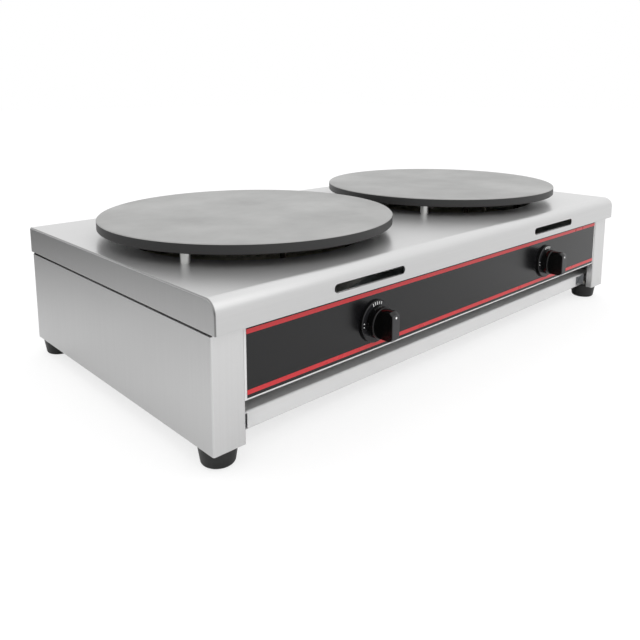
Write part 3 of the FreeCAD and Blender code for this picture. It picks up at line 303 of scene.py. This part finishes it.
# Film on the fascia: a polyester sheet printed black on its back, satin in front, with two red
# stripes. It is glued on the fascia plate inside a narrow bare margin.
film_wave_mm = 33.0
film_grain_mm = 1.0  # coarser than the film's own, which would not show
film_gloss_spread = 0.02


def printed_film(name, code, roughness):
    """Ink seen through clear polyester: an even colour under a faintly wavy, half-glossy face."""
    material, tree = new_material(name)
    place = add(tree, "ShaderNodeTexCoord").outputs["Object"]
    wave = add(tree, "ShaderNodeTexNoise", {"Vector": place, "Scale": 1000 / film_wave_mm,
                                            "Detail": 2.0}).outputs["Fac"]
    fine = add(tree, "ShaderNodeTexNoise", {"Vector": place, "Scale": 1000 / film_grain_mm,
                                            "Detail": 1.0}).outputs["Fac"]
    tone = add(tree, "ShaderNodeMapRange", {"Value": fine, "To Min": 0.92, "To Max": 1.0})
    colour = add(tree, "ShaderNodeMix", {"Factor": 1.0, "A": linear(code), "B": tone.outputs["Result"]},
                 data_type="RGBA", blend_type="MULTIPLY")
    gloss = add(tree, "ShaderNodeMapRange", {"Value": wave, "To Min": roughness - film_gloss_spread,
                                             "To Max": roughness + film_gloss_spread})
    bump = add(tree, "ShaderNodeBump", {"Height": wave, "Strength": 0.02, "Distance": 0.0005})
    shader = add(tree, "ShaderNodeBsdfPrincipled",
                 {"Base Color": colour.outputs["Result"], "Roughness": gloss.outputs["Result"],
                  "IOR": 1.45, "Normal": bump.outputs["Normal"]})
    add(tree, "ShaderNodeOutputMaterial", {"Surface": shader.outputs["BSDF"]})
    return material


dress("fascia_overlay", printed_film("black_printed_polyester", "#08080a", 0.22))
dress("overlay_stripes", printed_film("red_printed_polyester", "#c02a30", 0.28))

# Hot plates: cast iron discs, turned and ground on top and seasoned black on the rim and below.
# The turning rings are cut 0.4 mm apart and drawn at 3 mm, and the grit is drawn coarser as well, or
# neither would show.
ground_iron_dark = linear("#898988")
ground_iron_light = linear("#a0a09f")
seasoned_black = linear("#303030")
turning_ring_mm = 3.0
heat_stain_mm = 143.0
iron_grit_mm = 1.1


def ground_iron(name, centre_x):
    """Ground iron: mid grey, nearly matt, with faint turning rings and cloudy stains from the heat."""
    material, tree = new_material(name)
    place = add(tree, "ShaderNodeTexCoord").outputs["Object"]
    about = add(tree, "ShaderNodeVectorMath", {0: place, 1: (centre_x, 0.0, 0.0)}, operation="SUBTRACT")
    flat = add(tree, "ShaderNodeVectorMath", {0: about.outputs["Vector"], 1: (1.0, 1.0, 0.0)},
               operation="MULTIPLY")
    radius = add(tree, "ShaderNodeVectorMath", {0: flat.outputs["Vector"]}, operation="LENGTH")
    rings = add(tree, "ShaderNodeTexNoise", {"W": radius.outputs["Value"], "Detail": 2.0,
                                             "Scale": 1000 / turning_ring_mm},
                noise_dimensions="1D").outputs["Fac"]
    cloud = add(tree, "ShaderNodeTexNoise", {"Vector": place, "Scale": 1000 / heat_stain_mm,
                                             "Detail": 5.0, "Roughness": 0.6}).outputs["Fac"]
    grit = add(tree, "ShaderNodeTexNoise", {"Vector": place, "Scale": 1000 / iron_grit_mm,
                                            "Detail": 2.0}).outputs["Fac"]
    facing = add(tree, "ShaderNodeSeparateXYZ",
                 {"Vector": add(tree, "ShaderNodeNewGeometry").outputs["Normal"]})
    top = add(tree, "ShaderNodeMapRange", {"Value": facing.outputs["Z"], "From Min": 0.4,
                                           "From Max": 0.65})
    stain = add(tree, "ShaderNodeMapRange", {"Value": cloud, "From Min": 0.35, "From Max": 0.65})
    ground = add(tree, "ShaderNodeMix", {"Factor": stain.outputs["Result"], "A": ground_iron_dark,
                                         "B": ground_iron_light}, data_type="RGBA")
    ringed = add(tree, "ShaderNodeMapRange", {"Value": rings, "To Min": 0.97, "To Max": 1.0})
    turned = add(tree, "ShaderNodeMix", {"Factor": 1.0, "A": ground.outputs["Result"],
                                         "B": ringed.outputs["Result"]},
                 data_type="RGBA", blend_type="MULTIPLY")
    colour = add(tree, "ShaderNodeMix", {"Factor": top.outputs["Result"], "A": seasoned_black,
                                         "B": turned.outputs["Result"]}, data_type="RGBA")
    sheen = add(tree, "ShaderNodeMapRange", {"Value": cloud, "To Min": 0.42, "To Max": 0.5})
    relief = add(tree, "ShaderNodeMath", {0: grit, 1: rings}, operation="ADD")
    bump = add(tree, "ShaderNodeBump", {"Height": relief.outputs["Value"], "Strength": 0.06,
                                        "Distance": 0.0002})
    shader = add(tree, "ShaderNodeBsdfPrincipled",
                 {"Base Color": colour.outputs["Result"], "Metallic": 0.35,
                  "Roughness": sheen.outputs["Result"], "Normal": bump.outputs["Normal"]})
    add(tree, "ShaderNodeOutputMaterial", {"Surface": shader.outputs["BSDF"]})
    return material


for side in ("left", "right"):
    plate_low, plate_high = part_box(side + "_hot_plate")
    dress(side + "_hot_plate", ground_iron(side + "_ground_cast_iron", (plate_low.x + plate_high.x) / 2))

# Legs of the plates: bright spacers turned from stainless bar, three under each plate, with a bolt
# through each from below. The lathe's rings are drawn coarser than it cuts, or they would not show.
lathe_ring_mm = 1.0
bar_anisotropy = 0.6


def turned_bar(name, code, roughness, axis):
    """Bar turned in a lathe: fine rings round it, so its highlights stretch along its axis."""
    material, tree = new_material(name)
    place = add(tree, "ShaderNodeTexCoord").outputs["Object"]
    along = add(tree, "ShaderNodeVectorMath", {0: place, 1: axis}, operation="DOT_PRODUCT").outputs["Value"]
    rings = add(tree, "ShaderNodeTexNoise", {"W": along, "Scale": 1000 / lathe_ring_mm, "Detail": 2.0},
                noise_dimensions="1D").outputs["Fac"]
    shade = add(tree, "ShaderNodeMapRange", {"Value": rings, "To Min": 0.9, "To Max": 1.0})
    colour = add(tree, "ShaderNodeMix", {"Factor": 1.0, "A": linear(code), "B": shade.outputs["Result"]},
                 data_type="RGBA", blend_type="MULTIPLY")
    bump = add(tree, "ShaderNodeBump", {"Height": rings, "Strength": 0.1, "Distance": 0.0001})
    tangent = add(tree, "ShaderNodeCombineXYZ", dict(enumerate(axis)))
    shader = add(tree, "ShaderNodeBsdfPrincipled",
                 {"Base Color": colour.outputs["Result"], "Metallic": 1.0, "Roughness": roughness,
                  "Anisotropic": bar_anisotropy, "Tangent": tangent.outputs["Vector"],
                  "Normal": bump.outputs["Normal"]})
    add(tree, "ShaderNodeOutputMaterial", {"Surface": shader.outputs["BSDF"]})
    return material


leg_steel = turned_bar("turned_stainless_bar", "#d4d4d2", 0.28, upright)
for side in ("left", "right"):
    dress(side + "_plate_legs", leg_steel)

# Bolts, washers, nuts, screws and rivets: mild steel, zinc plated and passivated. The grain is drawn
# coarser than the real one, or it would not show.
metal_patch_mm = 4.5
metal_grain_mm = 0.67
metal_gloss_spread = 0.05


def tinted_metal(name, code, roughness, tint_code):
    """Metal under a thin skin of plating, oxide or tarnish: half-dull, in faint patches of two tints."""
    material, tree = new_material(name)
    place = add(tree, "ShaderNodeTexCoord").outputs["Object"]
    patch = add(tree, "ShaderNodeTexNoise", {"Vector": place, "Scale": 1000 / metal_patch_mm,
                                             "Detail": 3.0}).outputs["Fac"]
    grain = add(tree, "ShaderNodeTexNoise", {"Vector": place, "Scale": 1000 / metal_grain_mm,
                                             "Detail": 2.0}).outputs["Fac"]
    colour = add(tree, "ShaderNodeMix", {"Factor": patch, "A": linear(code), "B": linear(tint_code)},
                 data_type="RGBA")
    gloss = add(tree, "ShaderNodeMapRange", {"Value": patch, "To Min": roughness - metal_gloss_spread,
                                             "To Max": roughness + metal_gloss_spread})
    bump = add(tree, "ShaderNodeBump", {"Height": grain, "Strength": 0.06, "Distance": 0.0001})
    shader = add(tree, "ShaderNodeBsdfPrincipled",
                 {"Base Color": colour.outputs["Result"], "Metallic": 1.0,
                  "Roughness": gloss.outputs["Result"], "Normal": bump.outputs["Normal"]})
    add(tree, "ShaderNodeOutputMaterial", {"Surface": shader.outputs["BSDF"]})
    return material


zinc_plate = tinted_metal("zinc_plated_steel", "#b6babd", 0.3, "#c4c0ae")
for fixing in ("plate_leg_bolts", "plate_leg_washers", "element_clamp_bolts", "foot_screws", "foot_nuts",
               "thermostat_screws", "fascia_rivets", "cover_fixings"):
    dress(fixing, zinc_plate)

# Panel screws: pan heads with a cross recess pressed in cold, six at the back and four in the base,
# zinc plated as well. The CAD heads are plain discs, and these stand for them.
sharp_edge = math.radians(35)
screw_sides = 64
screw_head_radius = 0.0036
screw_head_height = 0.0020
screw_head_edge = 0.0005
screw_crown_power = 4
screw_shank_radius = 0.0020
screw_shank_length = 0.0054
recess_depth = 0.0011
recess_half_width = 0.00045
recess_reach = 0.0019
head_ring_step = 0.00015
base_screw_x = 0.415
base_screw_y = 0.115
lowest_back_screw_z = 0.040


def ring(sides, radius, height):
    """Points round an axis; radius and height are numbers, or functions of the angle."""
    points = []
    for side in range(sides):
        angle = 2 * math.pi * side / sides
        reach = radius(angle) if callable(radius) else radius
        rise = height(angle) if callable(height) else height
        points.append((reach * math.cos(angle), reach * math.sin(angle), rise))
    return points


def ring_shape(rings, place, outward, bored=False):
    """Vertices and faces of a closed shape whose rings run from its foot to its top. In a bored one the
    last ring lies in the bore and joins the first."""
    turn = Vector(outward).to_track_quat("Z", "Y")
    vertices = [Vector(place) + turn @ Vector(point) for points in rings for point in points]
    sides = len(rings[0])
    faces = []
    for row in range(len(rings) if bored else len(rings) - 1):
        low = row * sides
        high = (row + 1) % len(rings) * sides
        faces += [(low + side, low + (side + 1) % sides, high + (side + 1) % sides, high + side)
                  for side in range(sides)]
    if not bored:
        faces.append(tuple(reversed(range(sides))))
        faces.append(tuple(range((len(rings) - 1) * sides, len(rings) * sides)))
    return vertices, faces


def casing_piece(name, shapes, material, node):
    """One piece of the casing from closed shapes, in place of a CAD node."""
    vertices = []
    faces = []
    for shape_vertices, shape_faces in shapes:
        start = len(vertices)
        vertices += shape_vertices
        faces += [tuple(start + index for index in face) for face in shape_faces]
    piece = new_object(name, vertices, faces)
    piece.data.shade_smooth()
    piece.data.set_sharp_from_angle(angle=sharp_edge)
    piece.data.materials.append(material)
    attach(piece, "casing")
    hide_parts(node)


def cross_head_screw(place, outward):
    """A screw with its head's underside at a place: the shank, then the crowned head ring by ring."""
    rings = [ring(screw_sides, screw_shank_radius, -screw_shank_length),
             ring(screw_sides, screw_shank_radius, 0.0),
             ring(screw_sides, screw_head_radius, 0.0)]
    for step in range(int(screw_head_radius / head_ring_step)):
        reach = screw_head_radius - step * head_ring_step
        crown = math.sqrt(1 - (reach / screw_head_radius) ** screw_crown_power)
        face = screw_head_edge + (screw_head_height - screw_head_edge) * crown

        def height(angle):
            across, along = sorted((abs(reach * math.cos(angle)), abs(reach * math.sin(angle))))
            recessed = across < recess_half_width and along < recess_reach
            return face - recess_depth if recessed else face

        rings.append(ring(screw_sides, reach, height))
    return ring_shape(rings, place, outward)


screws_low, screws_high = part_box("panel_screws")
back_face = screws_high.y - screw_head_height
base_face = screws_low.z + screw_head_height
screw_x = screws_high.x - screw_head_radius
top_screw_z = screws_high.z - screw_head_radius
screw_heights = (lowest_back_screw_z, (lowest_back_screw_z + top_screw_z) / 2, top_screw_z)
screws = [cross_head_screw((side * screw_x, back_face, z), (0.0, 1.0, 0.0))
          for z in screw_heights for side in (-1, 1)]
screws += [cross_head_screw((side * base_screw_x, end * base_screw_y, base_face), (0.0, 0.0, -1.0))
           for side in (-1, 1) for end in (-1, 1)]
casing_piece("cross_head_panel_screws", screws, zinc_plate, "panel_screws")

# Heating elements: nickel alloy tubes, bent in rings; the first heat has turned them brown and grey.
# The straps that press them to the plates are mild steel, blued by the same heat.
oxidised_sheath = tinted_metal("heat_oxidised_nickel_alloy", "#4b4540", 0.5, "#5e5650")
blued_strap = tinted_metal("heat_blued_mild_steel", "#56565a", 0.42, "#6a625a")
for side in ("left", "right"):
    dress(side + "_heating_element", oxidised_sheath)
    dress(side + "_element_clamp", blued_strap)

# Bowls under the cover: spun from aluminised steel sheet, grey and soft in gloss.
# The bulbs under the plates and their capillaries are drawn copper, tinned.
aluminised = tinted_metal("aluminised_steel_sheet", "#a9aaa8", 0.42, "#b7b6b0")
tinned_copper = tinted_metal("tinned_copper_tube", "#a59c90", 0.34, "#b5aba0")
for side in ("left", "right"):
    dress(side + "_heat_shield", aluminised)
    dress(side + "_sensing_bulb", tinned_copper)


# Insulation pads: ceramic fibre board, cut round and laid in the bowls, cream white and fibrous. The
# tufts of fibre are 4 mm wide.
def fibre_board(name, code, fibre_mm):
    """Felted fibres: chalky, no gloss, a rough nap with darker pits."""
    material, tree = new_material(name)
    place = add(tree, "ShaderNodeTexCoord").outputs["Object"]
    nap = add(tree, "ShaderNodeTexNoise", {"Vector": place, "Scale": 1000 / fibre_mm, "Detail": 6.0,
                                           "Roughness": 0.7, "Distortion": 1.5}).outputs["Fac"]
    pit = add(tree, "ShaderNodeMapRange", {"Value": nap, "From Min": 0.3, "From Max": 0.6,
                                           "To Min": 0.75, "To Max": 1.0})
    colour = add(tree, "ShaderNodeMix", {"Factor": 1.0, "A": linear(code), "B": pit.outputs["Result"]},
                 data_type="RGBA", blend_type="MULTIPLY")
    bump = add(tree, "ShaderNodeBump", {"Height": nap, "Strength": 0.5, "Distance": 0.0005})
    shader = add(tree, "ShaderNodeBsdfPrincipled",
                 {"Base Color": colour.outputs["Result"], "Roughness": 0.95,
                  "Normal": bump.outputs["Normal"]})
    add(tree, "ShaderNodeOutputMaterial", {"Surface": shader.outputs["BSDF"]})
    return material


fibre = fibre_board("ceramic_fibre_board", "#ddd8c8", 4.0)
for side in ("left", "right"):
    dress(side + "_insulation_pad", fibre)

# Dial rings and knobs: compression-moulded phenolic, the ring satin and the knob glossy, with white
# strokes printed above and at the left and a white dot let into each grip.
# The moulds' textures are drawn coarser than the real ones, or they would not show.
moulding_ior = 1.5
gloss_patch_mm = 25.0
gloss_patch_share = 0.15
phenolic_ior = 1.38
phenolic_black = linear("#020202")
phenolic_wear_mm = 3.3
reflection_full_depth = 0.0003
reflection_end_depth = 0.0009
flank_turn = {"From Min": 0.96, "From Max": 0.99}
flank_roughness = 0.22


def moulded(name, code, roughness, texture_mm):
    """A moulding, glaze or paint: one colour, with a fine texture and broad patches in its gloss."""
    material, tree = new_material(name)
    place = add(tree, "ShaderNodeTexCoord").outputs["Object"]
    fine = add(tree, "ShaderNodeTexNoise", {"Vector": place, "Scale": 1000 / texture_mm, "Detail": 2.0})
    broad = add(tree, "ShaderNodeTexNoise", {"Vector": place, "Scale": 1000 / gloss_patch_mm,
                                             "Detail": 3.0}).outputs["Fac"]
    gloss = add(tree, "ShaderNodeMapRange", {"Value": broad, "To Min": roughness * (1 - gloss_patch_share),
                                             "To Max": roughness * (1 + gloss_patch_share)})
    tone = add(tree, "ShaderNodeMapRange", {"Value": broad, "To Min": 0.88, "To Max": 1.0})
    colour = add(tree, "ShaderNodeMix", {"Factor": 1.0, "A": linear(code), "B": tone.outputs["Result"]},
                 data_type="RGBA", blend_type="MULTIPLY")
    bump = add(tree, "ShaderNodeBump", {"Height": fine.outputs["Fac"], "Strength": 0.04,
                                        "Distance": 0.0001})
    shader = add(tree, "ShaderNodeBsdfPrincipled",
                 {"Base Color": colour.outputs["Result"], "Roughness": gloss.outputs["Result"],
                  "IOR": moulding_ior, "Normal": bump.outputs["Normal"]})
    add(tree, "ShaderNodeOutputMaterial", {"Surface": shader.outputs["BSDF"]})
    return material


def phenolic_with_painted_reflection(name, front_y, painted_reflection_code, front_roughness, body_roughness):
    """Black phenolic, polished by the mould; the face that lies in front is painted grey, a painted
    reflection, and the flanks have a gloss of their own. It mirrors less than new phenolic, so its IOR is
    lower."""
    material, tree = new_material(name)
    place = add(tree, "ShaderNodeTexCoord")
    depth = add(tree, "ShaderNodeSeparateXYZ", {"Vector": place.outputs["Object"]}).outputs["Y"]
    # Painted reflection: the face in front is painted grey.
    painted_reflection_face = add(tree, "ShaderNodeMapRange",
                   {"Value": depth, "From Min": front_y + reflection_full_depth, "From Max": front_y + reflection_end_depth,
                    "To Min": 1.0, "To Max": 0.0}).outputs["Result"]
    facing = add(tree, "ShaderNodeSeparateXYZ", {"Vector": place.outputs["Normal"]})
    turn = add(tree, "ShaderNodeMath", {0: facing.outputs["X"]}, operation="ABSOLUTE")
    body = add(tree, "ShaderNodeMapRange", {"Value": turn.outputs["Value"], **flank_turn,
                                            "To Min": body_roughness, "To Max": flank_roughness})
    wear = add(tree, "ShaderNodeTexNoise", {"Vector": place.outputs["Object"],
                                            "Scale": 1000 / phenolic_wear_mm, "Detail": 3.0})
    colour = add(tree, "ShaderNodeMix", {"Factor": painted_reflection_face, "A": phenolic_black,
                                         "B": linear(painted_reflection_code)}, data_type="RGBA")
    gloss = add(tree, "ShaderNodeMix", {"Factor": painted_reflection_face, "A": body.outputs["Result"],
                                        "B": front_roughness})
    bump = add(tree, "ShaderNodeBump", {"Height": wear.outputs["Fac"], "Strength": 0.03,
                                        "Distance": 0.0001})
    shader = add(tree, "ShaderNodeBsdfPrincipled",
                 {"Base Color": colour.outputs["Result"], "Roughness": gloss.outputs["Result"],
                  "IOR": phenolic_ior, "Normal": bump.outputs["Normal"]})
    add(tree, "ShaderNodeOutputMaterial", {"Surface": shader.outputs["BSDF"]})
    return material


# The grey on the front faces of the grips and rings is a painted reflection.
knob_phenolic = phenolic_with_painted_reflection("gloss_black_phenolic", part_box("left_knob")[0].y, "#323234",
                                    front_roughness=0.35, body_roughness=0.1)
ring_phenolic = phenolic_with_painted_reflection("satin_black_phenolic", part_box("left_bezel")[0].y, "#1c1c1e",
                                    front_roughness=0.2, body_roughness=0.3)
white_paint = moulded("white_marking_paint", "#f4f4f2", 0.4, 0.8)
for side in ("left", "right"):
    dress(side + "_knob", knob_phenolic)
    dress(side + "_bezel", ring_phenolic)
    dress(side + "_knob_pointer", white_paint)
dress("dial_marks", white_paint)

# Controls behind the fascia: brown phenolic thermostats with steel shafts, and white steatite cutouts
# under the bowls. The terminal block is of the same glazed ceramic, with brass screws.
brown_phenolic = moulded("brown_black_phenolic", "#1e1916", 0.42, 0.8)
shaft_steel = turned_bar("turned_steel_shaft", "#bcbcba", 0.3, (0.0, 1.0, 0.0))
steatite = moulded("glazed_steatite", "#e4e0d4", 0.3, 1.5)
brass = tinted_metal("machined_brass", "#b8994e", 0.28, "#c2a55c")
for side in ("left", "right"):
    dress(side + "_thermostat", brown_phenolic)
    dress(side + "_thermostat_shaft", shaft_steel)
    dress(side + "_limit_cutout", steatite)
dress("terminal_block", steatite)
dress("terminal_screws", brass)

# Wiring: silicone leads in brown-white glass braid, from the terminal block to the controls, cutouts
# and heaters, and an earth lead in a green and yellow sleeve, from the block to the bonding stud.
weave_axis = (1.0, 1.0, 0.3)
weave_lean = 0.8


def braid(name, first_code, second_code, pitch_mm):
    """Sleeve in two crossing tones: matt, with a fine diagonal weave, drawn twice as coarse as it is."""
    material, tree = new_material(name)
    place = add(tree, "ShaderNodeTexCoord").outputs["Object"]
    leaning = add(tree, "ShaderNodeVectorRotate", {"Vector": place, "Axis": weave_axis,
                                                   "Angle": weave_lean})
    weave = add(tree, "ShaderNodeTexChecker", {"Vector": leaning.outputs["Vector"],
                                               "Scale": 1000 / pitch_mm, "Color1": linear(first_code),
                                               "Color2": linear(second_code)})
    bump = add(tree, "ShaderNodeBump", {"Height": weave.outputs["Fac"], "Strength": 0.2,
                                        "Distance": 0.0002})
    shader = add(tree, "ShaderNodeBsdfPrincipled", {"Base Color": weave.outputs["Color"],
                                                    "Roughness": 0.7, "Normal": bump.outputs["Normal"]})
    add(tree, "ShaderNodeOutputMaterial", {"Surface": shader.outputs["BSDF"]})
    return material


glass_braid = braid("glass_braided_silicone", "#c8c0ae", "#a89c88", 1.0)
for side in ("left", "right"):
    dress(side + "_leads", glass_braid)
dress("earth_lead", braid("green_yellow_sleeve", "#3c8a3c", "#dcc63a", 3.0))

# Cord entry at the back: a gland moulded in black polyamide, with a hexagon against the panel and a
# ribbed dome nut for the fingers, and a lock nut inside. It is empty, as no cord is shown.
gland_sides = 96
gland_flats = 0.022
gland_hexagon_height = 0.008
gland_thread_radius = 0.008
gland_bore_radius = 0.0045
gland_mouth_radius = 0.0056
gland_mouth_depth = 0.0012
gland_neck_radius = 0.0092
gland_rib_radius = 0.00975
gland_rib_height = 0.00025
gland_ribs = 16
gland_shoulder = 0.005
gland_nose_radius = 0.0078
gland_chamfer = 0.0006


def hexagon(angle):
    """Distance from the gland's middle to the side of its hexagon."""
    sector = math.pi / 3
    return gland_flats / 2 / math.cos((angle + sector / 2) % sector - sector / 2)


def hexagon_rim(angle):
    """The same, at the hexagon's chamfered rims."""
    return hexagon(angle) - gland_chamfer


def ribbed(angle):
    """Distance from the gland's middle to the face of its ribbed nut."""
    return gland_rib_radius + gland_rib_height * math.cos(gland_ribs * angle)


polyamide = moulded("black_polyamide", "#161617", 0.42, 0.5)
dress("gland_lock_nut", polyamide)
gland_low, gland_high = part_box("cable_gland")
gland_place = ((gland_low.x + gland_high.x) / 2, back_face, (gland_low.z + gland_high.z) / 2)
gland_end = gland_high.y - back_face
gland_root = gland_low.y - back_face
gland_profile = (
    (gland_thread_radius, gland_root),
    (gland_thread_radius, 0.0),
    (hexagon_rim, 0.0),
    (hexagon, gland_chamfer),
    (hexagon, gland_hexagon_height - gland_chamfer),
    (hexagon_rim, gland_hexagon_height),
    (gland_neck_radius, gland_hexagon_height),
    (gland_neck_radius, gland_hexagon_height + 2 * gland_chamfer),
    (ribbed, gland_hexagon_height + 3 * gland_chamfer),
    (ribbed, gland_end - gland_shoulder),
    (gland_nose_radius, gland_end - gland_chamfer),
    (gland_nose_radius - gland_chamfer, gland_end),
    (gland_mouth_radius, gland_end),
    (gland_mouth_radius, gland_end - gland_mouth_depth),
    (gland_bore_radius, gland_end - gland_mouth_depth),
    (gland_bore_radius, gland_root))
gland_rings = [ring(gland_sides, radius, height) for radius, height in gland_profile]
casing_piece("ribbed_cable_gland", [ring_shape(gland_rings, gland_place, (0.0, 1.0, 0.0), bored=True)],
             polyamide, "cable_gland")

# Bonding terminal beside it: a stepped brass stud with a rolled thread, clamped in the back panel by
# two brass nuts, one on each side.
stud_sides = 36
stud_core_radius = 0.004
stud_end_radius = 0.003
stud_end_length = 0.009
thread_pitch = 0.001
thread_depth = 0.00035
rings_in_a_pitch = 6
dress("bonding_nuts", brass)
stud_low, stud_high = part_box("bonding_stud")
stud_place = ((stud_low.x + stud_high.x) / 2, stud_low.y, (stud_low.z + stud_high.z) / 2)
stud_length = stud_high.y - stud_low.y


def thread_radius(outer, height, angle):
    """A rolled thread: the groove climbs one pitch with each turn."""
    turns = height / thread_pitch - angle / (2 * math.pi)
    return outer - thread_depth * abs(2 * (turns % 1.0) - 1)


stud_rings = []
for step in range(round(stud_length / thread_pitch * rings_in_a_pitch) + 1):
    rise = min(step * thread_pitch / rings_in_a_pitch, stud_length)
    outer = stud_core_radius if rise < stud_length - stud_end_length else stud_end_radius
    end_distance = min(rise, stud_length - rise)
    outer -= max(0.0, thread_depth - end_distance)
    stud_rings.append(ring(stud_sides, lambda angle: thread_radius(outer, rise, angle), rise))
casing_piece("threaded_bonding_stud", [ring_shape(stud_rings, stud_place, (0.0, 1.0, 0.0))],
             brass, "bonding_stud")

# Feet: black rubber, moulded in one piece and tapered towards the floor, each held by a screw through
# its hollow.
foot_rubber = moulded("black_moulded_rubber", "#101010", 0.42, 0.6)
for foot in ("front_left_foot", "front_right_foot", "back_left_foot", "back_right_foot"):
    dress(foot, foot_rubber)
